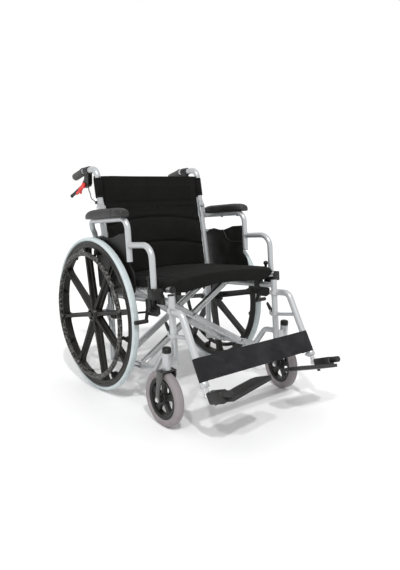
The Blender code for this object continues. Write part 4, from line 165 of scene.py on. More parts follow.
# %% [markdown]
# Finishes share a few effects: fine grain, slow colour drift and a woven thread. Each
# effect is a node group with its own sockets, so a material only sets its values.

# %% Effects


def opaque(value):
    """What a socket takes: a colour gets its alpha, and a number stays as it is."""
    return (*value, 1) if isinstance(value, tuple) else value


class Effect:
    """A node group that turns its own inputs into colour, roughness and height."""

    def __init__(self, name, inputs):
        self.tree = bpy.data.node_groups.new(name, "ShaderNodeTree")
        sockets = self.tree.interface
        for label, value in inputs.items():
            kind = "NodeSocketColor" if isinstance(value, tuple) else "NodeSocketFloat"
            socket = sockets.new_socket(label, in_out="INPUT", socket_type=kind)
            socket.default_value = opaque(value)
        for label, kind in (("Color", "Color"), ("Roughness", "Float"), ("Height", "Float")):
            sockets.new_socket(label, in_out="OUTPUT", socket_type="NodeSocket" + kind)
        self.given = self.tree.nodes.new("NodeGroupInput").outputs
        self.made = self.tree.nodes.new("NodeGroupOutput").inputs

    def feed(self, socket, value):
        """Give a socket a number, or what another socket carries."""
        if isinstance(value, bpy.types.NodeSocket):
            self.tree.links.new(value, socket)
        elif value is not None:
            socket.default_value = value

    def maths(self, operation, first, second=None, clamp=False):
        """One Math node on sockets or numbers."""
        node = self.tree.nodes.new("ShaderNodeMath")
        node.operation, node.use_clamp = operation, clamp
        self.feed(node.inputs[0], first)
        self.feed(node.inputs[1], second)
        return node.outputs[0]

    def times(self, first, second, clamp=False):
        return self.maths("MULTIPLY", first, second, clamp)

    def plus(self, first, second, clamp=False):
        return self.maths("ADD", first, second, clamp)

    def less(self, first, second, clamp=False):
        return self.maths("SUBTRACT", first, second, clamp)

    def place(self):
        """The Object coordinate: the piece's own metres."""
        return self.tree.nodes.new("ShaderNodeTexCoord").outputs["Object"]

    def axes(self):
        """The place's x, y and z."""
        parts = self.tree.nodes.new("ShaderNodeSeparateXYZ")
        self.feed(parts.inputs[0], self.place())
        return parts.outputs

    def mottle(self, scale, detail):
        """A noise over the piece."""
        node = self.tree.nodes.new("ShaderNodeTexNoise")
        for label, value in (("Vector", self.place()), ("Scale", scale), ("Detail", detail)):
            self.feed(node.inputs[label], value)
        return node.outputs["Fac"]

    def colour(self, share, second):
        """Give the first colour with a share of the second."""
        node = self.tree.nodes.new("ShaderNodeMix")
        node.data_type = "RGBA"
        for place, value in ((0, share), (6, self.given["Color"]), (7, self.given[second])):
            self.feed(node.inputs[place], value)
        self.feed(self.made["Color"], node.outputs[2])

    def surface(self, roughness, height):
        """Give the roughness and the height."""
        self.feed(self.made["Roughness"], roughness)
        self.feed(self.made["Height"], height)


# %% [markdown]
# Grain: two noises. The fine one is the tooth of enamel, plastic or rubber and feeds the
# bump. The slow one is handling marks, and it drifts the colour and the roughness.

# %% Grain
GRAIN = Effect("grain", {
    "Color": (0.5, 0.5, 0.5), "Drift Color": (0.4, 0.4, 0.4), "Drift": 0.3,
    "Fine Scale": 900.0, "Slow Scale": 9.0, "Roughness": 0.4, "Spread": 0.1,
})
slow = GRAIN.mottle(GRAIN.given["Slow Scale"], 5.0)
patch = GRAIN.times(GRAIN.less(slow, 0.45, True), 4.0, True)
GRAIN.colour(GRAIN.times(patch, GRAIN.given["Drift"]), "Drift Color")
off = GRAIN.times(GRAIN.less(slow, 0.5), GRAIN.given["Spread"])
rough = GRAIN.plus(GRAIN.given["Roughness"], off)
GRAIN.surface(rough, GRAIN.mottle(GRAIN.given["Fine Scale"], 2.0))

# %% [markdown]
# Weave: cloth is two sets of threads that go over and under each other. Sine waves on
# two diagonal directions give the crossings, at about a thread per 2 millimetres. The
# raised crossings are painted lighter and the dips darker: painted highlight and shade.

# %% Weave
WEAVE = Effect("weave", {
    "Color": (0.02, 0.02, 0.02), "Thread Color": (0.06, 0.06, 0.06), "Threads": 4000.0, "Fade": 0.3,
})
x, y, z = WEAVE.axes()
up = WEAVE.plus(z, WEAVE.times(y, 0.9))
one, two = (
    WEAVE.maths("SINE", WEAVE.times(slant, WEAVE.given["Threads"]))
    for slant in (WEAVE.plus(x, up), WEAVE.less(x, up))
)
height = WEAVE.times(WEAVE.plus(WEAVE.times(one, two), 1.0), 0.5)
# lighter patches: the cloth looks dusty, and on the strap they are also painted sheen of its
# creases
dust_and_sheen = WEAVE.times(WEAVE.less(WEAVE.mottle(14.0, 6.0), 0.42, True), WEAVE.given["Fade"])
# painted highlight and shade: raised threads take the lighter colour, dips stay dark
WEAVE.colour(WEAVE.plus(WEAVE.times(height, 0.35), dust_and_sheen, True), "Thread Color")
WEAVE.surface(WEAVE.plus(WEAVE.times(height, -0.15), 0.9), height)

# %% [markdown]
# Tread: fine cross cuts round the tyre. The angle about the axle gives the cuts, and
# the distance from the axle tells the tread from the side wall. The cuts are bumped in and
# also painted darker as painted shade, and slow wear patches darken toward the same colour.

# %% Tread
TREAD_START = 0.3026
TREAD = Effect("tread", {
    "Color": (0.5, 0.5, 0.5), "Groove Color": (0.3, 0.3, 0.3), "Cuts": 220.0, "Roughness": 0.7,
})
_, y, z = TREAD.axes()
ahead, above = TREAD.less(y, AXLE_Y), TREAD.less(z, AXLE_HEIGHT)
angle = TREAD.maths("ARCTAN2", above, ahead)
wave = TREAD.maths("SINE", TREAD.times(angle, TREAD.given["Cuts"]))
reach = TREAD.maths("SQRT", TREAD.plus(TREAD.times(ahead, ahead), TREAD.times(above, above)))
band = TREAD.times(TREAD.less(reach, TREAD_START), 900.0, True)
groove = TREAD.times(TREAD.times(TREAD.plus(wave, -0.2), 4.0, True), band)
worn = TREAD.times(TREAD.less(TREAD.mottle(26.0, 6.0), 0.5, True), 1.6)
# painted shade: the cuts take the darker colour; the wear patches take it as real wear
TREAD.colour(TREAD.plus(TREAD.times(groove, 0.34), worn, True), "Groove Color")
rough = TREAD.plus(TREAD.given["Roughness"], TREAD.times(worn, 0.3))
TREAD.surface(rough, TREAD.less(1.0, groove))

# %% [markdown]
# A finish is a Principled shader in its own material, fed by one effect. Colours are
# judged from the photograph and written in linear light.

# %% Finishes
FINISH = {}


def finish(name, effect, values, bump, distance=0.0002, **shader_values):
    """A material whose effect feeds colour, roughness and bump."""
    FINISH[name] = bpy.data.materials.new(name)
    FINISH[name].use_nodes = True
    tree = FINISH[name].node_tree
    shader = tree.nodes["Principled BSDF"]
    holder = tree.nodes.new("ShaderNodeGroup")
    holder.node_tree = effect.tree
    for label, value in values.items():
        holder.inputs[label].default_value = opaque(value)
    relief = tree.nodes.new("ShaderNodeBump")
    relief.inputs["Strength"].default_value = bump
    relief.inputs["Distance"].default_value = distance
    for source, socket in (
        (holder.outputs["Color"], shader.inputs["Base Color"]),
        (holder.outputs["Roughness"], shader.inputs["Roughness"]),
        (holder.outputs["Height"], relief.inputs["Height"]),
        (relief.outputs["Normal"], shader.inputs["Normal"]),
    ):
        tree.links.new(source, socket)
    for label, value in shader_values.items():
        shader.inputs[label.replace("_", " ")].default_value = value


def grained(name, colour, drift_colour, numbers, bump, **more):
    """A finish with grain: its drift, fine and slow scale, roughness and spread."""
    labels = ("Drift", "Fine Scale", "Slow Scale", "Roughness", "Spread")
    values = {"Color": colour, "Drift Color": drift_colour, **dict(zip(labels, numbers))}
    finish(name, GRAIN, values, bump, **more)


def grey(value, warm):
    """A linear grey, a little warm."""
    return (value * (1 + warm), value, value * (1 - warm))


grained("silver_enamel", (0.505, 0.52, 0.53), (0.42, 0.435, 0.45), (0.5, 2600, 7, 0.33, 0.18),
        bump=0.05, Metallic=0.45, Coat_Weight=0.25, Coat_Roughness=0.15)
grained("bright_chrome", (0.78, 0.78, 0.79), (0.6, 0.6, 0.61), (0.5, 1800, 30, 0.16, 0.12),
        bump=0.03, Metallic=1.0)
grained("brace_steel", (0.6, 0.61, 0.615), (0.5, 0.51, 0.515), (0.4, 900, 9, 0.28, 0.1),
        bump=0.0, Metallic=0.85)
grained("black_moulding", grey(0.008, 0.06), grey(0.02, 0.04), (0.6, 2200, 22, 0.42, 0.25),
        bump=0.25, Specular_IOR_Level=0.32)
grained("wheel_moulding", grey(0.01, 0.1), grey(0.026, 0.08), (0.7, 1500, 16, 0.4, 0.3),
        bump=0.2, Specular_IOR_Level=0.36)
grained("handrim_enamel", grey(0.004, 0.05), grey(0.17, 0.04), (0.9, 260, 92, 0.38, 0.5),
        bump=0.7, distance=0.0016, Specular_IOR_Level=0.35)
# the darker colour is painted shade in the tread cuts, and the tone of the wear patches
finish("tyre_rubber", TREAD, {
    "Color": (0.545, 0.605, 0.615), "Groove Color": (0.33, 0.39, 0.4), "Cuts": 400.0,
    "Roughness": 0.7,
}, bump=0.25, distance=0.0005)
grained("castor_rubber", (0.255, 0.228, 0.235), (0.2, 0.18, 0.185),
        (0.6, 1200, 26, 0.68, 0.15), bump=0.25)
finish("padded_cloth", WEAVE, {
    "Color": grey(0.0035, 0.08), "Thread Color": grey(0.018, 0.05), "Threads": 3600.0, "Fade": 0.35,
}, bump=0.5, distance=0.0004, Sheen_Weight=0.02, Sheen_Roughness=0.5, Specular_IOR_Level=0.12)
# the strap's strong light patches are partly painted sheen of its creases, partly dusty cloth
finish("strap_webbing", WEAVE, {
    "Color": (0.0055, 0.0055, 0.0065), "Thread Color": (0.042, 0.041, 0.045), "Threads": 2600.0,
    "Fade": 1.1,
}, bump=0.5, distance=0.0004, Sheen_Weight=0.04, Sheen_Roughness=0.5, Specular_IOR_Level=0.25)
grained("pad_skin", grey(0.014, 0.03), grey(0.034, 0.02), (0.5, 1300, 20, 0.46, 0.25),
        bump=0.45, distance=0.0003)
grained("footplate_moulding", grey(0.014, 0.03), grey(0.028, 0.02), (0.6, 1500, 18, 0.5, 0.2),
        bump=0.35, Specular_IOR_Level=0.4)
grained("red_moulding", (0.72, 0.02, 0.014), (0.55, 0.012, 0.01), (0.4, 1200, 30, 0.35, 0.15),
        bump=0.1)
grained("blackened_steel", grey(0.022, 0.04), grey(0.06, 0.03), (0.5, 1500, 60, 0.3, 0.2),
        bump=0.1, Metallic=0.6)
grained("fork_enamel", grey(0.02, 0.05), grey(0.038, 0.04), (0.5, 1800, 18, 0.24, 0.2),
        bump=0.08, Coat_Weight=0.5, Coat_Roughness=0.08)
grained("grip_rubber", grey(0.055, 0.03), grey(0.085, 0.03), (0.6, 1500, 30, 0.5, 0.2),
        bump=0.4, distance=0.0003)
grained("cable_sheath", grey(0.06, 0.08), grey(0.1, 0.06), (0.5, 1500, 30, 0.35, 0.15), bump=0.1)
grained("studio_floor", (0.92, 0.92, 0.92), (0.91, 0.91, 0.913), (0.2, 60, 0.6, 0.55, 0.1),
        bump=0.0)
floor.data.materials.append(FINISH["studio_floor"])
print("finishes:", len(FINISH))

# %% [markdown]
# Every piece ends the same way: its place goes into its mesh, it is shaded smooth up
# to its hard edges, and it rides on the body of the solid that it stands for.

# %% Finishing a piece
BODIES = frame["record"]["behaviour"]["bodies"]
BODY_OF = {node: body for body, members in BODIES.items() for node in members}
BUILT = set()
MIRROR = Matrix.Scale(-1, 4, (1, 0, 0))


def settle(name, bm, look, node, stands_for=(), angle=38, ride=True):
    """Make a bmesh a piece on the body of some node, standing for some solids."""
    piece = placed(name, bm)
    piece.data.shade_smooth()
    piece.data.set_sharp_from_angle(angle=math.radians(angle))
    piece.data.materials.append(FINISH[look])
    if ride:
        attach(piece, BODY_OF[node])
    if stands_for:
        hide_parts(*stands_for)
        BUILT.update(stands_for)
    return piece


def pair(name, build, look, stem, stands=True, axes=LEAN, places=None, ride=True):
    """Build a piece for the left side, and its mirror image or twin for the right."""
    made = []
    for side, sign in SIDES.items():
        bm = bmesh.new()
        build(bm)
        bmesh.ops.recalc_face_normals(bm, faces=bm.faces)
        if places:
            bm.transform(places[side])
        elif sign > 0:
            bm.transform(axes)
        else:
            bm.transform(MIRROR @ axes)
            bmesh.ops.reverse_faces(bm, faces=bm.faces)
        node = stem + "_" + side
        made.append(settle(name + "_" + side, bm, look, node, [node] if stands else [], ride=ride))
    print(name, "faces a side:", len(made[0].data.polygons))
    return made


# %% [markdown]
# Most of the chair is bent tube. A tube is a circle drawn along each straight and spun
# round each bend, just as a mandrel bender makes it. Wheels are spun profiles, and
# moulded parts are blocks and plates with their edges rounded.

# %% Shapes that many pieces need
TUBE_SIDES = 28


def lay(bm, verts, axes):
    """Move new vertices by a matrix."""
    bmesh.ops.transform(bm, matrix=axes, verts=verts)


def aimed(start, end, axis="Z", up="Y"):
    """A matrix that takes an axis from the origin to run from start toward end."""
    way = Vector(end) - Vector(start)
    return Matrix.Translation(start) @ way.to_track_quat(axis, up).to_matrix().to_4x4()


def picked(geom, kind):
    """The vertices, edges or faces among what an operator made."""
    return [g for g in geom if isinstance(g, kind)]


def edges_of(verts):
    """The edges that end at some vertices."""
    return list({e for v in verts for e in v.link_edges})


def rounded(bm, made, edges, offset, segments):
    """Round some edges of a new shape, and list the shape's vertices again."""
    cut = bmesh.ops.bevel(
        bm, geom=edges, offset=offset, segments=segments, profile=0.5, affect="EDGES", material=-1
    )
    return list({v for f in cut["faces"] for v in f.verts} | {v for v in made if v.is_valid})


def whole_turn(bm, geom, axis, steps):
    """Spin an open or closed line all the way round an axis."""
    bmesh.ops.spin(bm, geom=geom, axis=axis, angle=2 * math.pi, steps=steps, use_merge=True)


def bar(bm, start, end, radius, sides=32, tip=None, bevel=0.0):
    """A round bar between two points, tapering where a second radius is given."""
    length = (Vector(end) - Vector(start)).length
    made = bmesh.ops.create_cone(
        bm, cap_ends=True, segments=sides, radius1=radius, radius2=tip or radius, depth=length
    )["verts"]
    if bevel:
        rims = [e for e in edges_of(made) if any(len(f.verts) > 4 for f in e.link_faces)]
        made = rounded(bm, made, rims, bevel, 2)
    lay(bm, made, aimed(start, end) @ Matrix.Translation((0, 0, length / 2)))


def bead(bm, centre, way, radius, thick=0.0012):
    """A weld bead: a thin ring round a tube where it meets another."""
    ring = bmesh.ops.create_circle(bm, segments=8, radius=thick)["verts"]
    lay(bm, ring, Matrix.Translation((radius, 0, 0)) @ Matrix.Rotation(math.pi / 2, 4, "X"))
    before = set(bm.verts) - set(ring)
    whole_turn(bm, ring + edges_of(ring), (0, 0, 1), 32)
    made = [v for v in bm.verts if v not in before]
    lay(bm, made, aimed(centre, Vector(centre) + Vector(way)))


def drawn(bm, edges, way):
    """Draw some open edges on by a vector, and return the new ones."""
    grown = bmesh.ops.extrude_edge_only(bm, edges=edges)["geom"]
    lifted = picked(grown, BMVert)
    bmesh.ops.translate(bm, verts=lifted, vec=way)
    return [e for e in picked(grown, BMEdge) if all(v in lifted for v in e.verts)]


def bent(bm, points, radius, bend, steps=8):
    """A tube through points, with an arc at each corner."""
    points = [Vector(p) for p in points]
    ring = bmesh.ops.create_circle(bm, segments=TUBE_SIDES, radius=radius)["verts"]
    lay(bm, ring, aimed(points[0], points[1]))
    first = rim = edges_of(ring)
    here = points[0]
    for before, corner, after in zip(points, points[1:], points[2:]):
        into, out = before - corner, after - corner
        room = 0.49 * min(into.length, out.length)
        into, out = into.normalized(), out.normalized()
        half = into.angle(out) / 2
        reach = min(bend / math.tan(half), room)
        rim = drawn(bm, rim, corner + into * reach - here)
        spun = bmesh.ops.spin(
            bm,
            geom=rim + list({v for e in rim for v in e.verts}),
            cent=corner + (into + out).normalized() * (reach / math.cos(half)),
            axis=into.cross(out),
            angle=2 * half - math.pi,
            steps=steps,
        )["geom_last"]
        rim = picked(spun, BMEdge)
        here = corner + out * reach
    for end in (first, drawn(bm, rim, points[-1] - here)):
        bmesh.ops.edgeloop_fill(bm, edges=end)


def turned(bm, profile, sides, axes=None, ring=False):
    """A solid spun about X from (x, radius) points, or a ring from a closed profile."""
    verts = [bm.verts.new((x, 0, r)) for x, r in profile]
    path = verts + verts[:1] if ring else verts
    edges = [bm.edges.new(two) for two in zip(path, path[1:])]
    before = set(bm.verts) - set(verts)
    whole_turn(bm, verts + edges, (1, 0, 0), sides)
    made = [v for v in bm.verts if v not in before]
    if not ring:
        bmesh.ops.remove_doubles(bm, verts=made, dist=0.000001)
        made = [v for v in made if v.is_valid]
    if axes:
        lay(bm, made, axes)


def both_ways(half, middle=0.0):
    """Half a profile and its mirror image, about a middle in x."""
    return [(middle + x, r) for x, r in half] + [(middle - x, r) for x, r in reversed(half)]


def block(bm, low, high, edge, axes=None):
    """A box between two corners with rounded edges."""
    low, high = Vector(low), Vector(high)
    made = bmesh.ops.create_cube(bm, size=1)["verts"]
    lay(bm, made, Matrix.Translation((low + high) / 2) @ Matrix.Diagonal((*(high - low), 1)))
    made = rounded(bm, made, edges_of(made), edge, 3)
    if axes:
        lay(bm, made, axes)


def plate(bm, outline, low, high, edge):
    """A plate of some (y, z) outline between two X places, with rounded rims."""
    face = bm.faces.new([bm.verts.new((low, y, z)) for y, z in outline])
    grown = bmesh.ops.extrude_face_region(bm, geom=[face], use_keep_orig=True)["geom"]
    bmesh.ops.translate(bm, verts=picked(grown, BMVert), vec=(high - low, 0, 0))
    top = picked(grown, BMFace)[0]
    rounded(bm, [], list(face.edges) + list(top.edges), edge, 3)


def loft(bm, sections):
    """A skin over rings of points, with both ends closed."""
    loops = []
    for points in sections:
        ring = [bm.verts.new(p) for p in points]
        loops.append([bm.edges.new(two) for two in zip(ring, ring[1:] + ring[:1])])
    for near, far in zip(loops, loops[1:]):
        bmesh.ops.bridge_loops(bm, edges=near + far)
    for rim in (loops[0], loops[-1]):
        bmesh.ops.edgeloop_fill(bm, edges=rim)


def arc(centre, radius, start, end, steps):
    """Points of an arc in (y, z), angles in degrees from +Y toward +Z."""
    turns = [math.radians(start + (end - start) * i / steps) for i in range(steps + 1)]
    return [(centre[0] + radius * math.cos(a), centre[1] + radius * math.sin(a)) for a in turns]


# %% [markdown]
# The rear wheel is one nylon moulding: a deep rim with a lip, eight tapered spokes that
# carry a narrow grooved rib on a wider back, and a stepped hub. All of it is modelled
# about its own axle and then set in place.

# %% Rear wheels
AXLE = Matrix.Translation((0, AXLE_Y, AXLE_HEIGHT))
RIM = [
    (0.3205, 0.2902), (0.3221, 0.2892), (0.3225, 0.2862), (0.3224, 0.28), (0.3206, 0.279),
    (0.3206, 0.2738), (0.3222, 0.2728), (0.3219, 0.268), (0.32, 0.2655), (0.3165, 0.2648),
    (0.2925, 0.2648), (0.2893, 0.2664), (0.2879, 0.27), (0.2878, 0.276), (0.289, 0.28),
    (0.2972, 0.2902),
]
HUB = [
    (0.2876, 0.0), (0.2876, 0.0215), (0.2884, 0.0235), (0.294, 0.0262), (0.295, 0.0295),
    (0.2962, 0.03), (0.3162, 0.031), (0.318, 0.0304), (0.319, 0.029), (0.32, 0.0284),
    (0.3262, 0.0272), (0.328, 0.0252), (0.3285, 0.0185), (0.323, 0.0165), (0.3226, 0.0075),
    (0.3226, 0.0),
]
SPOKES, SPOKE_FIRST, LUG_FIRST = 8, 14.0, 36.5


def about(degrees):
    """A turn about the axle that lifts -Y toward +Z."""
    return Matrix.Rotation(-math.radians(degrees), 4, "X")


def spoke(bm, turn):
    """One spoke: a wide thin back and a narrower raised rib with a groove."""
    sections = []
    for y, outer, inner, grow in (
        (-0.02, 0.321, 0.291, 1.45),
        (-0.034, 0.3208, 0.2908, 1.2),
        (-0.12, 0.3182, 0.2907, 1.0),
        (-0.236, 0.3165, 0.2906, 1.0),
        (-0.254, 0.3172, 0.2906, 1.25),
        (-0.267, 0.3185, 0.2906, 1.9),
    ):
        half, back, step = 0.0056 * grow, 0.0093 * grow, inner + 0.011
        side = [(inner, back), (step, back), (step + 0.003, half * 1.06), (outer - 0.001, half)]
        side += [(outer, half - 0.001), (outer, half * 0.45), (outer - 0.0022, half * 0.25)]
        ring = [(x, y, z) for x, z in side] + [(x, y, -z) for x, z in reversed(side)]
        sections.append([turn @ Vector(p) for p in ring])
    loft(bm, sections)


SPOKE_TURNS, LUG_TURNS = (
    [about(first + 360 / SPOKES * k) for k in range(SPOKES)] for first in (SPOKE_FIRST, LUG_FIRST)
)


def wheel(bm):
    turned(bm, RIM, 128, ring=True)
    turned(bm, HUB, 48)
    for spoke_turn, turn in zip(SPOKE_TURNS, LUG_TURNS):
        spoke(bm, spoke_turn)
        block(bm, (0.301, -0.2675, -0.0085), (0.3212, -0.25, 0.0085), 0.002, turn)
        block(bm, (0.303, -0.268, -0.005), (0.32, -0.2455, 0.005), 0.002, turn)


pair("wheel_moulding", wheel, "wheel_moulding", "wheel", axes=AXLE)

# %% [markdown]
# The tyre is a solid grey ring, 27 mm wide. Its sides bulge a little over the rim and
# two shallow grooves run round the tread, so the profile is spun with those in it. The
# fine cross cuts are in the tread effect of its finish.

# %% Rear tyres
TYRE_X = 0.309
TYRE_HALF = [
    (0.01, 0.2906), (0.0122, 0.2922), (0.0133, 0.295), (0.0135, 0.2975), (0.0126, 0.3003),
    (0.0106, TREAD_START), (0.0078, 0.304), (0.0062, 0.3044), (0.0056, 0.3037), (0.0048, 0.3037),
    (0.0042, 0.3047), (0.0018, 0.305),
]


def tyre(bm):
    turned(bm, both_ways(TYRE_HALF, TYRE_X), 180, ring=True)


pair("tyre_rubber", tyre, "tyre_rubber", "tyre", axes=AXLE)

# %% [markdown]
# The push ring is a moulded tube that stands off the rim on eight brackets. The ring is a
# circle spun about the axle. Each bracket is a foot with a bolt head, and an arm.

# %% Handrims
RING_R, RING_TUBE, RING_X, RING_BUMPS, RING_WAVE = 0.243, 0.0091, 0.341, 90, 0.028


def handrim(bm):
    """A tube spun round the axle, with a soft wave that keeps hands from slipping."""
    turns = [2 * math.pi * i / 20 for i in range(20)]
    circle = [(RING_X + RING_TUBE * math.cos(a), RING_R + RING_TUBE * math.sin(a)) for a in turns]
    turned(bm, circle, 6 * RING_BUMPS, ring=True)
    for vert in bm.verts:
        angle = math.atan2(vert.co.z, vert.co.y)
        heart = Vector((RING_X, RING_R * math.cos(angle), RING_R * math.sin(angle)))
        wave = math.sin(RING_BUMPS * angle) + 0.5 * math.sin(17 * angle)
        vert.co = heart + (vert.co - heart) * (1 + RING_WAVE * wave)


def handrim_brackets(bm):
    for turn in LUG_TURNS:
        block(bm, (0.3218, -0.269, -0.007), (0.3262, -0.2385, 0.007), 0.0016, turn)
        block(bm, (0.324, -0.248, -0.0055), (0.337, -0.2382, 0.0055), 0.0018, turn)
        at = turn @ Vector((0.3255, -0.261, 0))
        bar(bm, at, at + Vector((0.003, 0, 0)), 0.0042, 20, 0.0036)


pair("handrim_ring", handrim, "handrim_enamel", "handrim", axes=AXLE)
pair("handrim_bracket", handrim_brackets, "black_moulding", "handrim", stands=False, axes=AXLE)


def axle_bolt(bm):
    nut = [(0.2338, 0.0), (0.2338, 0.0088), (0.2346, 0.0098), (0.2428, 0.0098)]
    shaft = [(0.2428, 0.006), (0.3287, 0.006)]
    head = [(0.3287, 0.011), (0.3312, 0.0112), (0.3326, 0.009), (0.3322, 0.0045)]
    turned(bm, nut + shaft + head + [(0.3306, 0.004), (0.3306, 0.0)], 36)


pair("axle_bolt", axle_bolt, "blackened_steel", "rear_axle")

# %% [markdown]
# Each castor is a fat solid tyre on a black centre with five spokes, in a fork whose
# legs curve back to the axle. The left one has swung a little, as in the photograph,
# so the two castors are twins set with different turns rather than mirror images.

# %% Castors
STEM_X, STEM_Y, TRAIL, CASTOR_R = 0.2915, -0.463, 0.012, 0.1
CROWN_LOW, CROWN_HIGH, LEG_IN, LEG_OUT = 0.203, 0.207, 0.0255, 0.0305
YAW = (0.0, math.radians(-11))
STEM = {
    side: UPRIGHT @ Matrix.Translation((sign * STEM_X, STEM_Y, 0)) @ Matrix.Rotation(yaw, 4, "Z")
    for (side, sign), yaw in zip(SIDES.items(), YAW)
}
HUBS = {side: axes @ Matrix.Translation((0, TRAIL, CASTOR_R)) for side, axes in STEM.items()}
CASTOR_HALF = [
    (0.0125, 0.0745), (0.0146, 0.0768), (0.016, 0.081), (0.0165, 0.0858), (0.016, 0.0905),
    (0.0144, 0.0946), (0.0118, 0.0976), (0.0084, 0.0993), (0.0045, 0.1),
]


def castor_tyre(bm):
    turned(bm, both_ways(CASTOR_HALF), 112, ring=True)


def castor_centre(bm):
    rim = [(0.012, 0.0742), (0.0134, 0.0728), (0.0136, 0.07), (0.0124, 0.0628), (0.0108, 0.0604)]
    turned(bm, both_ways(rim), 80, ring=True)
    hub = [(0.0246, 0.0), (0.0246, 0.0108), (0.0238, 0.0118), (0.014, 0.0124), (0.0124, 0.018)]
    turned(bm, both_ways(hub + [(0.0108, 0.0192)]), 40)
    for k in range(5):
        turn = about(72 * (k + 0.25))
        sections = []
        for thick, reach, wide in (
            (0.0085, 0.01, 0.0105), (0.008, 0.026, 0.009), (0.0072, 0.046, 0.0105),
            (0.0078, 0.062, 0.0165),
        ):
            corner = [(thick, wide - 0.0025), (thick - 0.002, wide)]
            half = corner + [(-x, z) for x, z in reversed(corner)]
            ring = half + [(-x, -z) for x, z in half]
            sections.append([turn @ Vector((x, -reach, z)) for x, z in ring])
        loft(bm, sections)


def fork_leg():
    """The leg's outline in (y, z): broad under the crown, waisted, round at the axle."""
    front = [(-0.0165, 0.2068), (-0.017, 0.19), (-0.015, 0.178), (-0.0085, 0.166)]
    front += [(-0.0035, 0.152), (-0.0005, 0.136), (0.001, 0.121), (0.0006, 0.11)]
    rear = [(0.0232, 0.11), (0.0215, 0.124), (0.019, 0.142), (0.018, 0.16)]
    rear += [(0.0182, 0.178), (0.0188, 0.195), (0.0188, 0.2068)]
    return front + arc((TRAIL, CASTOR_R), 0.0115, 178, 362, 12) + rear


def castor_fork(bm):
    bar(bm, (0, 0, CROWN_LOW), (0, 0, 0.2625), 0.008)
    bar(bm, (0, 0, CROWN_LOW), (0, 0, CROWN_HIGH + 0.0008), 0.0135)
    block(bm, (-LEG_OUT, -0.017, CROWN_LOW), (LEG_OUT, 0.019, CROWN_HIGH), 0.0015)
    for low, high in ((LEG_IN, LEG_OUT), (-LEG_OUT, -LEG_IN)):
        plate(bm, fork_leg(), low, high, 0.0018)


def castor_bolt(bm):
    for sign in (-1, 1):
        head = Vector((sign * LEG_OUT, TRAIL, CASTOR_R))
        out = Vector((sign * 0.005, 0, 0))
        bar(bm, head, head + out * 0.3, 0.0085, 28)
        bar(bm, head + out * 0.3, head + out, 0.007, 6, bevel=0.0006)
        bar(bm, head - out, head + out * 0.1, 0.005, 20)


pair("castor_rubber", castor_tyre, "castor_rubber", "castor_tyre", places=HUBS)
pair("castor_centre", castor_centre, "black_moulding", "castor_wheel", places=HUBS)
pair("fork_moulding", castor_fork, "fork_enamel", "castor_fork", places=STEM)
pair("castor_bolt", castor_bolt, "bright_chrome", "castor_fork", stands=False, places=STEM)

# %% [markdown]
# The side frame is welded from round tube: a front post, two rails, the lower one
# stepped down behind the castor, and a rear post that runs on into the back cane.

# %% Side frames
FRAME_X, POST_Y, POST_R, RAIL_R, CANE_R = 0.252, -0.446, 0.012, 0.011, 0.0125
UPPER_RAIL_Z, LOWER_RAIL_Z, SEAT_RAIL_Z, STEP_Z = 0.074, -0.181, 0.117, -0.1095
FOOT_Y, FOOT_Z, BREAK_Y, BREAK_Z = -0.02, -0.193, -0.039, 0.157
CANE_TOP, CANE_SLOPE = 0.385, 0.1065
POST_LOW, POST_HIGH, HINGE_Z, ARM_PIN = -0.139, 0.0965, 0.4157, (0.035, 0.295)
CHEEK_IN, CHEEK_OUT = 0.0105, 0.0145
UNLEAN = LEAN.inverted()
HOUSING = UNLEAN @ UPRIGHT @ Matrix.Translation((STEM_X, STEM_Y, 0))
HOUSING_LOW, HOUSING_HIGH, CAP_LOW = 0.208, 0.268, 0.2683


def cane_y(z):
    """Where the back cane's centre lies at a height of the frame."""
    return BREAK_Y + (z - BREAK_Z) * CANE_SLOPE


def post_y(z):
    """Where the rear post's centre lies below the cane."""
    return FOOT_Y + (BREAK_Y - FOOT_Y) * (z - FOOT_Z) / (BREAK_Z - FOOT_Z)


def side_frame(bm):
    x = FRAME_X
    rear_low, rear_high = post_y(LOWER_RAIL_Z), post_y(UPPER_RAIL_Z)
    bar(bm, (x, POST_Y, POST_LOW), (x, POST_Y, POST_HIGH), POST_R, bevel=0.0008)
    bar(bm, (x, POST_Y, UPPER_RAIL_Z), (x, rear_high, UPPER_RAIL_Z), RAIL_R)
    step = [(x, POST_Y, STEP_Z), (x, -0.385, STEP_Z), (x, -0.322, LOWER_RAIL_Z)]
    bent(bm, step + [(x, rear_low, LOWER_RAIL_Z)], RAIL_R, 0.035)
    cane = [(x, FOOT_Y, FOOT_Z), (x, BREAK_Y, BREAK_Z), (x, cane_y(CANE_TOP), CANE_TOP)]
    bent(bm, cane, CANE_R, 0.12)
    bar(bm, (0.243, 0, 0), (0.2872, 0, 0), 0.014, bevel=0.0008)
    for z in (UPPER_RAIL_Z, STEP_Z):
        bead(bm, (x, POST_Y + POST_R - 0.0006, z), (0, 1, 0), RAIL_R + 0.0004)
    for y, z in ((rear_low, LOWER_RAIL_Z), (rear_high, UPPER_RAIL_Z)):
        bead(bm, (x, y - CANE_R + 0.0006, z), (0, 1, 0), RAIL_R + 0.0004)
    lower = [(-0.038, -0.048), (-0.012, -0.034), (0.002, -0.016)]
    upper = [(0.002, 0.016), (-0.012, 0.034), (-0.042, 0.048)]
    plate(bm, lower + arc((0, 0), 0.016, -60, 60, 10) + upper, x - 0.006, x + 0.006, 0.001)


def castor_housing(bm):
    start, end = (HOUSING @ Vector((0, 0, z)) for z in (HOUSING_LOW, HOUSING_HIGH))
    bar(bm, start, end, 0.0155, 36, bevel=0.001)
    _, y, z = (start + end) / 2
    block(bm, (FRAME_X, y - 0.0085, z - 0.02), (STEM_X, y + 0.0085, z + 0.012), 0.0015)
    bead(bm, start + (end - start) * 0.93, end - start, 0.0156, 0.001)


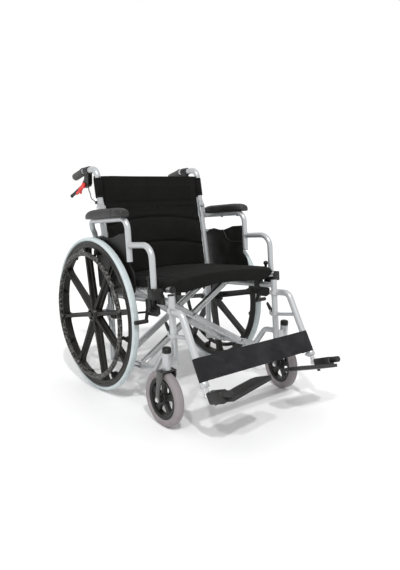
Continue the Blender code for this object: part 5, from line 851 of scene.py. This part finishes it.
def hinge_cheeks(bm):
    low = CANE_TOP - 0.018
    shape = [(cane_y(low) - CANE_R, low), (cane_y(low) + CANE_R, low)]
    shape += arc((cane_y(HINGE_Z), HINGE_Z), CANE_R, 0, 180, 14)
    for near, far in ((-CHEEK_OUT, -CHEEK_IN), (CHEEK_IN, CHEEK_OUT)):
        plate(bm, shape, FRAME_X + near, FRAME_X + far, 0.0008)


def arm_ear(bm):
    root_low, root_high = [(cane_y(z), z) for z in (0.278, 0.314)]
    shape = [root_low] + arc(ARM_PIN, 0.011, -90, 90, 10) + [root_high]
    plate(bm, shape, 0.244, 0.25, 0.0008)


def all_side_frame(bm):
    for build in (side_frame, castor_housing, hinge_cheeks, arm_ear):
        build(bm)


def frame_bolts(bm):
    for side in (-1, 1):
        face = Vector((FRAME_X + side * CHEEK_OUT, cane_y(HINGE_Z), HINGE_Z))
        out = Vector((side, 0, 0))
        bar(bm, face - out * 0.003, face + out * 0.0012, 0.0052, 24, 0.0042)
    bar(bm, (0.247, *ARM_PIN), (0.2733, *ARM_PIN), 0.005, 20)
    bar(bm, (0.2732, *ARM_PIN), (0.2762, *ARM_PIN), 0.008, 6, bevel=0.0005)


def frame_plugs(bm):
    x = FRAME_X
    bar(bm, (x, POST_Y, POST_HIGH), (x, POST_Y, 0.1015), POST_R + 0.0003, bevel=0.0012)
    bar(bm, (x, POST_Y, -0.1415), (x, POST_Y, POST_LOW), POST_R - 0.0004, bevel=0.0008)
    for y in (-0.36, -0.165):
        block(bm, (x - 0.0125, y - 0.016, 0.0635), (x + 0.0125, y + 0.016, 0.106), 0.003)


pair("frame_tube", all_side_frame, "silver_enamel", "side_frame")
pair("frame_bolt", frame_bolts, "bright_chrome", "side_frame", stands=False)
pair("frame_plug", frame_plugs, "black_moulding", "side_frame", stands=False)


def rail_plug(bm):
    start = Vector((FRAME_X, POST_Y - 0.0085, SEAT_RAIL_Z))
    bar(bm, start, start - Vector((0, 0.0052, 0)), 0.0125, bevel=0.0014)


for side, brace, shift in (("left", "cross_brace_a", 0), ("right", "cross_brace_b", -2 * FRAME_X)):
    bm = bmesh.new()
    rail_plug(bm)
    bm.transform(LEAN @ Matrix.Translation((shift, 0, 0)))
    bmesh.ops.recalc_face_normals(bm, faces=bm.faces)
    settle("rail_plug_" + side, bm, "black_moulding", brace)


def castor_cap(bm):
    profile = [(0.0, 0.0), (0.0, 0.0158), (0.0006, 0.016), (0.0138, 0.016), (0.015, 0.0156)]
    profile += [(0.0176, 0.0134), (0.0186, 0.0118), (0.0188, 0.0)]
    up = Matrix.Translation((0, 0, CAP_LOW)) @ Matrix.Rotation(-math.pi / 2, 4, "Y")
    turned(bm, profile, 40, HOUSING @ up)


pair("housing_cap", castor_cap, "black_moulding", "castor_cap")

# %% [markdown]
# The arm is one bent tube with a branch welded to its post. It flips back on a pin
# at the rear, and its front leg drops into a moulded socket on the rail.

# %% Arms
ARM_X, ARM_R, ARM_TOP_Z, BRANCH_Z = 0.2875, 0.011, 0.368, 0.2717
ARM_POST_Y, ARM_FRONT_Y, ARM_LOW = -0.256, -0.399, 0.2124


def arm_tube(bm):
    x, post, front, top = ARM_X, ARM_POST_Y, ARM_FRONT_Y, ARM_TOP_Z
    path = [(0.262, 0.035, 0.284), (0.262, 0.035, 0.317), (0.2755, 0.03, 0.34)]
    path += [(0.2755, 0.03, top), (0.2785, cane_y(top), top), (x, -0.08, top)]
    bent(bm, path + [(x, post, top), (x, post, ARM_LOW)], ARM_R, 0.04)
    bent(bm, [(x, post, BRANCH_Z), (x, front, BRANCH_Z), (x, front, 0.1)], ARM_R, 0.048)
    bead(bm, (x, post - ARM_R + 0.0007, BRANCH_Z), (0, 1, 0), ARM_R + 0.0003)


def arm_plugs(bm):
    x, low, under = ARM_X, ARM_LOW - 0.002, ARM_TOP_Z - 0.0135
    bar(bm, (x, ARM_POST_Y, low), (x, ARM_POST_Y, low + 0.0022), ARM_R - 0.0004, 28, bevel=0.0006)
    for y in (-0.215, -0.115):
        bar(bm, (x, y, under), (x, y, under + 0.004), 0.0045, 20, 0.005)


pair("arm_tube", arm_tube, "silver_enamel", "arm_frame")
pair("arm_plug", arm_plugs, "black_moulding", "arm_frame", stands=False)

# %% [markdown]
# The arm pad is moulded foam with its own skin. It is lofted through rounded sections
# that swell at the middle, droop to a thin rear tip and roll over at the front, where
# a shallow pinch marks the end of the seat for the hand.

# %% Arm pads
PAD_X, PAD_FRONT, PAD_REAR, PAD_LOW = 0.295, -0.256, 0.01, 0.374
PAD_STATIONS, PAD_AROUND = 44, 32


def arm_pad(bm):
    sections = []
    for i in range(PAD_STATIONS + 1):
        t = 0.5 - 0.5 * math.cos(math.pi * i / PAD_STATIONS)
        y = PAD_FRONT + (PAD_REAR - PAD_FRONT) * t
        front = math.sqrt(max(0.0, 1 - max(0.0, 1 - t / 0.24) ** 2))
        rear = math.sqrt(max(0.0, 1 - max(0.0, (t - 0.76) / 0.24) ** 2))
        lift = (0.36 + 0.64 * front) * (0.26 + 0.74 * rear)
        height = 0.0085 + 0.0268 * lift
        half = 0.026 * (0.6 + 0.4 * front) * (0.66 + 0.34 * rear)
        pinch = 0.0022 * math.exp(-(((t - 0.19) / 0.03) ** 2))
        ring = []
        for k in range(PAD_AROUND):
            a = 2 * math.pi * k / PAD_AROUND
            c, s = math.cos(a), math.sin(a)
            across = math.copysign(abs(c) ** 0.62, c) * (half - pinch)
            if s > 0:
                up = s**0.75 * (height * 0.58 - pinch * 0.6)
            else:
                up = -(abs(s) ** 0.35) * height * 0.42
            ring.append((PAD_X + across, y, PAD_LOW + height * 0.42 + up))
        sections.append(ring)
    loft(bm, sections)


pair("arm_pad_skin", arm_pad, "pad_skin", "arm_pad")

# %% [markdown]
# The hanger swings on two collars round the front post. Its tube leaves level, bends
# down and carries the calf strap and, below a clamp, the plated footrest tube.

# %% Hangers
HANGER_X, HANGER_R, HANGER_TOP_Z, COLLAR_Z = 0.262, 0.0125, 0.045, -0.042
COLLAR_REAR = POST_Y + 0.017
BEND = Vector((HANGER_X, -0.518, 0.03))
FOOT = Vector((HANGER_X, -0.6124, -0.1789))
FOOT_REACH = 0.011
DOWN = (FOOT - BEND).normalized()


def hanger(bm):
    x, top, rear, foot = FRAME_X, HANGER_TOP_Z, COLLAR_REAR, FOOT + DOWN * FOOT_REACH
    path = [(x, POST_Y, top), (HANGER_X, -0.47, top), (HANGER_X, -0.512, top), foot]
    bent(bm, path, HANGER_R, 0.04, steps=12)
    for z, half in ((top, 0.009), (COLLAR_Z, 0.007)):
        bar(bm, (x, POST_Y, z - half), (x, POST_Y, z + half), 0.017, 36, bevel=0.001)
    bar(bm, (x, POST_Y - 0.008, COLLAR_Z), BEND + DOWN * 0.072, 0.0068)
    bar(bm, foot - DOWN * 0.018, foot - DOWN * 0.001, HANGER_R + 0.003, bevel=0.001)
    z = COLLAR_Z
    block(bm, (x - 0.006, rear - 0.003, z - 0.006), (x + 0.006, rear + 0.009, z + 0.005), 0.001)
    for ear in (x - 0.006, x + 0.006):
        block(bm, (ear - 0.0015, rear + 0.001, z), (ear + 0.0015, rear + 0.009, z + 0.015), 0.0006)


def hanger_bolts(bm):
    middle = Vector((FRAME_X, COLLAR_REAR + 0.005, COLLAR_Z + 0.011))
    half = Vector((0.0078, 0, 0))
    bar(bm, middle - half, middle + half, 0.002, 16)
    at = FOOT + DOWN * (FOOT_REACH - 0.01)
    out = Vector((0, 0.026, -0.01))
    bar(bm, at + out * 0.4, at + out * 0.94, 0.004, 20)
    bar(bm, at + out * 0.7, at + out, 0.0062, 6, bevel=0.0006)


pair("hanger_tube", hanger, "silver_enamel", "hanger")
pair("hanger_bolt", hanger_bolts, "bright_chrome", "hanger", stands=False)


def footrest_tube(bm):
    hinge = FOOT + DOWN * 0.036
    tilt = math.radians(22) - RAKE
    along = Vector((0, -math.cos(tilt), math.sin(tilt)))
    bar(bm, FOOT + DOWN * 0.0004, hinge, 0.009)
    bar(bm, hinge - along * 0.0095, hinge + along * 0.0095, 0.0095, bevel=0.0008)
    bar(bm, hinge, hinge + along * 0.114, 0.007, 24)


pair("footrest_bar", footrest_tube, "bright_chrome", "footrest_tube")

# %% [markdown]
# The upper cane folds at the hinge and bends back into the push handle. The rubber grip
# has rounded finger ribs, spun as one profile along the handle's end.

# %% Canes and grips
HANDLE_X, GRIP_START, GRIP_RIBS, CLIP_Z = 0.247, 0.118, 6, 0.4392
HANDLE_BREAK = Vector((HANDLE_X, 0.115, 0.5715))
HANDLE_END = Vector((HANDLE_X, 0.193, 0.557))


def upper_cane(bm):
    start, root = 0.4292, 0.435
    corner = (FRAME_X, 0.0015, 0.5705)
    path = [(FRAME_X, cane_y(start), start), corner, HANDLE_BREAK, HANDLE_END]
    bent(bm, path, CANE_R, 0.035, steps=14)
    shape = arc((cane_y(HINGE_Z), HINGE_Z), 0.0105, 180, 360, 12)
    shape += [(cane_y(root) + 0.0105, root), (cane_y(root) - 0.0105, root)]
    plate(bm, shape, FRAME_X - 0.01, FRAME_X + 0.01, 0.0006)


def cable_clip(bm):
    x, y, z = FRAME_X, cane_y(CLIP_Z), CLIP_Z
    block(bm, (x - 0.004, y, z - 0.006), (x + 0.013, y + 0.0215, z + 0.006), 0.0015)


def grip(bm):
    way = (HANDLE_END - HANDLE_BREAK).normalized()
    length, outer = (HANDLE_END.y - GRIP_START) / way.y, CANE_R + 0.0028
    profile = [(length, 0.0), (length, 0.0128), (0.0, 0.0128), (0.0, outer + 0.0013)]
    profile += [(0.0006, outer + 0.0016), (0.0034, outer + 0.0016), (0.0042, outer + 0.0008)]
    step = (length - 0.012) / GRIP_RIBS
    rib = ((0.0, -0.0012), (0.12, -0.0002), (0.3, 0.0003), (0.62, 0.0003), (0.8, -0.0002))
    for i in range(GRIP_RIBS):
        profile += [(0.0055 + (i + share) * step, outer + rise) for share, rise in rib]
    end = [(-0.004, outer), (0.0015, outer), (0.004, outer - 0.0016), (0.0056, outer - 0.0055)]
    profile += [(length + past, r) for past, r in end + [(0.006, 0.006), (0.006, 0.0)]]
    turned(bm, profile, 40, aimed(HANDLE_END - way * length, HANDLE_END, "X", "Z"))


pair("cane_tube", upper_cane, "silver_enamel", "upper_cane")
pair("cane_clip", cable_clip, "black_moulding", "upper_cane", stands=False)
pair("grip_rubber", grip, "grip_rubber", "grip")

# %% [markdown]
# A brake cable is held at both ends and clipped to the cane, so its line is fixed. It
# is a curve through the places that it passes, made a mesh.

# %% Brake cables
CABLE_R, BLEND = 0.0021, (0.392, 0.436)
CABLE = [
    (0.247, 0.087, 0.5081), (0.247, 0.086, 0.494), (0.264, 0.044, 0.474), (0.274, 0.02, 0.457),
    (0.264, 0.01, 0.443),
]
CLIPPED = ((0.004, 0.425), (0.0025, 0.36), (0.0025, 0.295), (0.005, 0.25))
CABLE += [(FRAME_X + x, cane_y(z) + 0.0157, z) for x, z in CLIPPED]
CABLE += [(0.266, cane_y(0.205) + 0.0125, 0.205), (0.2695, -0.04, 0.15), (0.2708, -0.058, 0.095)]
CABLE += [(0.271, -0.078, 0.052), (0.271, -0.085, 0.032), (0.271, -0.085, 0.0115)]


def along_curve(points, steps):
    """Places along a Catmull-Rom curve, as a cable takes between its clips."""
    places = [Vector(p) for p in points]
    places = [places[0] * 2 - places[1]] + places + [places[-1] * 2 - places[-2]]
    route = []
    for a, b, c, d in zip(places, places[1:], places[2:], places[3:]):
        for i in range(steps):
            t = i / steps
            bow = (2 * a - 5 * b + 4 * c - d) * t * t + (3 * b - a - 3 * c + d) * t**3
            route.append(0.5 * (2 * b + (c - a) * t + bow))
    return route + [places[-2]]


def cable(bm):
    route = along_curve(CABLE, 8)
    turns = [math.pi * i / 6 for i in range(12)]
    circle = [Vector((math.cos(a), math.sin(a), 0)) * CABLE_R for a in turns]
    sections = []
    for k, place in enumerate(route):
        near, far = route[max(k - 1, 0)], route[min(k + 1, len(route) - 1)]
        turn = (far - near).to_track_quat("Z", "X").to_matrix()
        sections.append([place + turn @ spot for spot in circle])
    loft(bm, sections)


cables = pair("cable", cable, "cable_sheath", "brake_cable", ride=False)
for piece, (side, sign) in zip(cables, SIDES.items()):
    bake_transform(piece)
print("cable places:", len(CABLE))

# %% [markdown]
# The seat and the back are sewn covers over foam. A copy of each soft solid is skinned
# with even squares, blown up a little as cloth under pressure, held from moving too far,
# and smoothed once. The seams and sewn channels are pressed in afterwards, along the
# stitch lines, because the skinning would lose anything so fine.

# %% Padded covers
PRESSURE, FRAMES, TRAVEL = 4.0, 20, 0.30946


def limited(value, least=0.0):
    """A value kept between some least share and the whole."""
    return min(max(value, least), 1.0)


def moved(verts, moves):
    """Move each vertex by its own vector."""
    for vert, move in zip(verts, moves):
        vert.co += move


def copied(node):
    """A solid's own mesh, with its loose triangles welded."""
    bm = bmesh.new()
    bm.from_mesh(frame["nodes"][node].data)
    bmesh.ops.remove_doubles(bm, verts=bm.verts, dist=0.00001)
    return bm


def skinned(node, cell, inset):
    """A soft solid's copy in the frame's own axes, skinned with even squares."""
    bm = copied(node)
    bm.transform(UNLEAN)
    bm.normal_update()
    moved(bm.verts, [v.normal * -inset for v in bm.verts])
    cover = placed(node + "_cover", bm)
    skin = cover.modifiers.new("skin", "REMESH")
    skin.mode, skin.voxel_size = "VOXEL", cell
    return baked(cover)


def baked(cover):
    """Apply a piece's modifiers to its mesh."""
    bpy.context.view_layer.update()
    shown = cover.evaluated_get(bpy.context.evaluated_depsgraph_get())
    made = bpy.data.meshes.new_from_object(shown)
    cover.modifiers.clear()
    cover.data = made
    return cover


def blown(cover, limit):
    """Blow a cover up as cloth, moving no point further than limit(place) allows."""
    start = [v.co.copy() for v in cover.data.vertices]
    air = cover.modifiers.new("air", "CLOTH")
    cloth = air.settings
    cloth.quality = 5
    cloth.mass = 0.3
    cloth.tension_stiffness = cloth.compression_stiffness = 12
    cloth.bending_stiffness = 0.4
    cloth.use_pressure = True
    cloth.uniform_pressure_force = PRESSURE
    cloth.effector_weights.gravity = 0
    air.point_cache.frame_start, air.point_cache.frame_end = 1, FRAMES
    for step in range(1, FRAMES + 1):
        scene.frame_set(step)
    baked(cover)
    for vert, was in zip(cover.data.vertices, start):
        gone, most = vert.co - was, limit(was)
        if gone.length > most:
            vert.co = was + gone * (most / gone.length)
    scene.frame_set(1)
    return cover


def stretched(bm, start, end):
    """Stretch a cover's end to meet a height, strip by strip, with a straight front."""
    sign, strip = (1 if end > start else -1), 0.008
    last, level = {}, {}
    for vert in bm.verts:
        key = round(vert.co.x / strip)
        last[key] = max(last.get(key, 0), sign * (vert.co.z - start))
        if abs(vert.co.z - start) < 0.006 and vert.normal.y < -0.5:
            level.setdefault(key, []).append(vert.co.y)
    for vert in bm.verts:
        key = round(vert.co.x / strip)
        past, most = sign * (vert.co.z - start), last[key]
        if past > 0.4 * most:
            square = min(past / (most - 0.006), 1.0)
            vert.co.z = start + sign * abs(end - start) * square
        if past > 0 and vert.normal.y < -0.25 and key in level:
            front = sum(level[key]) / len(level[key])
            vert.co.y = front + cane_y(vert.co.z) - cane_y(start)


def finished(cover, node, pressed, shaped):
    """Smooth a cover once, press in its seams, shape its ends, and set it on its body."""
    smoother = cover.modifiers.new("smooth", "SUBSURF")
    smoother.levels = smoother.render_levels = 1
    baked(cover)
    bm = bmesh.new()
    bm.from_mesh(cover.data)
    bpy.data.objects.remove(cover)
    bm.normal_update()
    moved(bm.verts, [v.normal * -pressed(v.co, v.normal) for v in bm.verts])
    shaped(bm)
    bm.transform(LEAN)
    piece = settle(node + "_cover", bm, "padded_cloth", node, [node], angle=180)
    print(piece.name, "faces:", len(piece.data.polygons))
    return piece


def seam(distance, width, depth):
    """How deep a stitch line presses at some distance from it."""
    return depth * math.exp(-((distance / width) ** 2))


def ripple(place, across, along, height):
    """Slow creases in cloth, longer one way than the other."""
    at = Vector((place.x / across, place.y / across, place.z / along))
    return height * noise.noise(at, noise_basis="PERLIN_ORIGINAL")


# %% Seat
SEAT_FRONT, SEAT_SEAM = -0.445, 0.214


def seat_limit(place):
    """Nearly nothing by the rails and underneath, and 6 mm on the crown."""
    rail = math.hypot(abs(place.x) - FRAME_X, place.z - SEAT_RAIL_Z)
    near = limited((rail - 0.016) / 0.03, 0.02)
    return 0.006 * near if place.z > 0.125 else 0.0015 + 0.002 * near


def seat_pressed(place, normal):
    """The boxed front's piping, the side seams and a few slow creases."""
    up = max(normal.z, 0.0)
    deep = 0.0
    if place.z > 0.128:
        deep += seam(place.y - (SEAT_FRONT + 0.052), 0.0042, 0.003) * up
        deep += seam(abs(place.x) - SEAT_SEAM, 0.0045, 0.0026) * up
    deep += seam(place.z - 0.1265, 0.003, 0.0018) * max(-normal.y, 0.0)
    creases = ripple(place, 0.16, 0.5, 0.003) + ripple(place, 0.045, 0.2, 0.0012)
    return deep + creases * up


def seat_valance(bm):
    """Let the boxed front hang to its hem, a little below the rails."""
    for vert in bm.verts:
        x, y, z = vert.co
        ahead, low = limited((SEAT_FRONT + 0.024 - y) / 0.012), limited((0.14 - z) / 0.03)
        hem = 0.0995 + 0.004 * math.cos(2.6 * math.pi * x) if abs(x) < 0.236 else 0.1045
        if ahead * low > 0 and z > hem:
            vert.co.z -= (z - hem) * ahead * low * (2 - low)


seat = blown(skinned("seat", 0.006, 0.0015), seat_limit)
seat = finished(seat, "seat", seat_pressed, seat_valance)
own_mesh(seat)

# %% [markdown]
# The back is one cover in the photograph, made here in two where it folds. Two curved
# stitch lines cross the lower part, and the loose foam creases near the bottom corners.

# %% Back
BACK_HALF, BACK_LOW, BACK_SPLIT, BACK_HIGH = 0.239, 0.13, 0.416, 0.534
STITCHES, PANEL_EDGE, PANEL_TOP = (0.372, 0.268), 0.2335, 0.5415


def back_limit(place):
    """Up to 9 mm in the middle, and very little at the canes and at the split."""
    side = limited((BACK_HALF - abs(place.x)) / 0.045, 0.06)
    ends = min(abs(place.z - BACK_LOW), abs(place.z - BACK_HIGH)) / 0.03
    return 0.009 * side * limited(min(ends, abs(place.z - BACK_SPLIT) / 0.09), 0.12)


def off_split(place):
    """From 0 at the split to 1, so that the two covers run into each other."""
    return min(abs(place.z - BACK_SPLIT) / 0.06, 1.0) ** 2


def back_pressed(place, normal):
    """Two arched stitch lines and the creases between them."""
    front = max(-normal.y, 0.0)
    arch = 0.03 * (place.x / BACK_HALF) ** 2
    deep = sum(seam(place.z - (z - arch), 0.0052, 0.0048) for z in STITCHES) * front
    corner = max(0.0, (abs(place.x) - 0.12) / 0.12) * max(0.0, (0.24 - place.z) / 0.1)
    slant = Vector((place.x * 0.7 + place.z, place.y, place.z * 0.7 - abs(place.x)))
    creases = ripple(slant, 0.02, 0.06, 0.0045) * min(corner, 1.0)
    slow = ripple(place, 0.11, 0.09, 0.0028) + ripple(place, 0.03, 0.045, 0.0009)
    creases += slow * off_split(place)
    return deep + creases * front


def back_upper_pressed(place, normal):
    """The edge of the front cover beside each cane's sleeve, and a hem at the top."""
    front = max(-normal.y, 0.0)
    deep = seam(abs(place.x) - PANEL_EDGE, 0.0036, 0.0055) * front
    deep += seam(place.z - (BACK_HIGH - 0.014), 0.002, 0.0014) * max(abs(normal.y), 0.0)
    inside = limited((0.225 - abs(place.x)) / 0.03)
    slow = ripple(place, 0.13, 0.1, 0.0026) - 0.0022
    return deep + slow * front * inside * off_split(place)


def lower_end(bm):
    """The fold at the top."""
    stretched(bm, 0.395, BACK_SPLIT - 0.0001)


def upper_ends(bm):
    """The fold at the bottom, and the panel's top, which stands above the sleeves."""
    stretched(bm, 0.437, BACK_SPLIT + 0.0001)
    stretched(bm, 0.505, PANEL_TOP)


lower = blown(skinned("back_lower", 0.0055, 0.001), back_limit)
lower = finished(lower, "back_lower", back_pressed, lower_end)
upper = blown(skinned("back_upper", 0.005, 0.0003), back_limit)
upper = finished(upper, "back_upper", back_upper_pressed, upper_ends)
for cover, z in ((lower, 0.27), (upper, 0.47)):
    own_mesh(cover)

# %% [markdown]
# Beside the upper cover, its edge is sewn into a sleeve that is drawn over each cane.
# The sleeve is a thin open tube, so it is spun as a ring of its own section.

# %% Cane sleeves
SLEEVE_LOW, SLEEVE_HIGH, SLEEVE_R = 0.457, 0.5335, 0.0158


def cane_sleeve(bm):
    low, high = (Vector((FRAME_X, cane_y(z), z)) for z in (SLEEVE_LOW, SLEEVE_HIGH))
    half, outer, inner = (high - low).length / 2, SLEEVE_R, CANE_R + 0.0003
    top = [(half, inner), (half, outer - 0.0006), (half - 0.0006, outer), (half - 0.008, outer)]
    top += [(half - 0.009, outer - 0.0005), (half - 0.01, outer)]
    turned(bm, both_ways(top, half), 40, aimed(low, high, "X", "Z"), ring=True)


pair("cane_sleeve", cane_sleeve, "padded_cloth", "upper_cane", stands=False)

# %% [markdown]
# The calf strap is one band of cloth, lapped round both hanger tubes and sewn to
# itself. Its line from above is swept down its height in many rows, so that slow creases
# can run along it and its two hems can be pressed in. Then the band gets its thickness.

# %% Calf strap
STRAP_HALF, STRAP_THICK, STRAP_HEIGHT, STRAP_FLAP, STRAP_ROWS = 0.2782, 0.003, 0.079, 0.029, 32
STRAP_WRAP = HANGER_R + 0.0003 + STRAP_THICK / 2
STRAP_DROP = 0.1422
STRAP_TOP = BEND + DOWN * STRAP_DROP
ACROSS = Vector((0, DOWN.z, -DOWN.y))


def strap_section():
    """(x, out) points of the strap from above: front run, turn, and a flap at each end."""
    middle, wrap, flap = HANGER_X, STRAP_WRAP, STRAP_HALF - 0.045
    turns = [math.pi * i / 12 for i in range(13)]
    turn = [(middle + wrap * math.sin(a), wrap * math.cos(a)) for a in turns]
    front = [(x / 30 * middle, wrap - 0.006 * (1 - (x / 30) ** 2)) for x in range(30)]
    half = front + turn + [((flap + middle) / 2, -wrap), (flap, -wrap)]
    return [(-x, out) for x, out in reversed(half[1:])] + half


def strap_crease(x, along):
    """How far the strap's front stands out for its slanting creases and its two hems."""
    flat = 1 - limited((abs(x) - 0.2) / 0.05)
    edge = 1 - 0.35 * abs(2 * along / STRAP_HEIGHT - 1)
    crease = noise.noise(Vector((x * 15 + along * 26, along * 20, 1.7))) * 0.005
    crease += noise.noise(Vector((x * 42 - along * 40, along * 42, 5.1))) * 0.0024
    hem = seam(min(along, STRAP_HEIGHT - along) - 0.0065, 0.002, 0.0009)
    return crease * flat * edge - hem


bm = bmesh.new()
level = Vector((0, STRAP_TOP.y, STRAP_TOP.z))
row = [bm.verts.new(level + Vector((x, 0, 0)) + ACROSS * out) for x, out in strap_section()]
edges = [bm.edges.new(two) for two in zip(row, row[1:])]
for _ in range(STRAP_ROWS):
    edges = drawn(bm, edges, DOWN * (STRAP_HEIGHT / STRAP_ROWS))
for vert in bm.verts:
    away = vert.co - level
    if away.dot(ACROSS) > 0:
        vert.co += ACROSS * strap_crease(away.x, away.dot(DOWN))
bmesh.ops.recalc_face_normals(bm, faces=bm.faces)
bmesh.ops.solidify(bm, geom=bm.faces, thickness=STRAP_THICK * 0.62)
bm.transform(LEAN)
strap = settle("calf_band", bm, "strap_webbing", "calf_strap", ["calf_strap"], angle=60)
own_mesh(strap)

# %% [markdown]
# Small rigid pieces have their true shape in the solids already. A copy of each, with
# its loose triangles welded and its edges rounded, takes the finish.

# %% Welded copies of the rigid solids
RIGID = dict.fromkeys((
    "side_panel", "arm_socket", "footplate", "hanger_lever", "brake_base", "brake_lever",
    "brake_shoe", "handle_brake_clamp", "handle_lever", "brake_catch",
), "black_moulding")
RIGID.update(footplate="footplate_moulding", brake_catch="red_moulding")
SINGLE = {
    "cross_brace_a": "brace_steel", "cross_brace_b": "brace_steel",
    "brace_pin_front": "bright_chrome", "brace_pin_rear": "bright_chrome",
}
CATCH_SWELL, HARD_EDGE = 0.0014, 50


def welded(node, look, edge, swell=0.0):
    """A smooth copy of one solid with rounded edges, swelled a little where asked."""
    bm = copied(node)
    bmesh.ops.dissolve_limit(bm, angle_limit=math.radians(0.5), verts=bm.verts, edges=bm.edges)
    bm.normal_update()
    moved(bm.verts, [v.normal * swell for v in bm.verts])
    piece = settle(node + "_dressed", bm, look, node, [node], angle=HARD_EDGE)
    rounder = piece.modifiers.new("edges", "BEVEL")
    rounder.width, rounder.segments = edge, 2
    rounder.limit_method, rounder.angle_limit = "ANGLE", math.radians(HARD_EDGE)


for stem, look in RIGID.items():
    for side in SIDES:
        swell = CATCH_SWELL if stem == "brake_catch" else 0.0
        welded(stem + "_" + side, look, 0.0006, swell)
for node, look in SINGLE.items():
    welded(node, look, 0.0005)
print("welded copies:", 2 * len(RIGID) + len(SINGLE))

# %% [markdown]
# A thin rib stiffens the side panel's inner face. It runs down beside the arm's post and
# turns forward, and it is one bent rod laid on the face.

# %% Side panel rib
RIB_X, RIB_R = 0.2797, 0.0019


def panel_rib(bm):
    places = ((-0.1225, 0.3005), (-0.134, 0.288), (-0.147, 0.263), (-0.172, 0.248), (-0.243, 0.246))
    bent(bm, [(RIB_X, y, z) for y, z in places], RIB_R, 0.014)


pair("panel_rib", panel_rib, "pad_skin", "side_panel", stands=False)

# %% [markdown]
# The red catch locks the attendant brake. A thumb finds it as a round boss with a short
# neck and a ball end, so these thicken the flat solid on its outer side.

# %% Catch boss
CATCH_BOSS, CATCH_BALL = Vector((0.2595, 0.106, 0.514)), Vector((0.2595, 0.136, 0.4885))
CATCH_HALF = 0.0035


def catch_boss(bm):
    out = Vector((CATCH_HALF, 0, 0))
    bar(bm, CATCH_BOSS - out, CATCH_BOSS + out, 0.012, 36, bevel=0.0022)
    bar(bm, CATCH_BALL - out, CATCH_BALL + out, 0.0062, 28, bevel=0.0018)
    way = (CATCH_BALL - CATCH_BOSS).normalized()
    bar(bm, CATCH_BOSS + way * 0.006, CATCH_BALL, 0.0034, 20)


pair("catch_boss", catch_boss, "red_moulding", "brake_catch", stands=False)
left = sorted(set(frame["nodes"]) - BUILT)
print("solids without a dressed piece:", left)
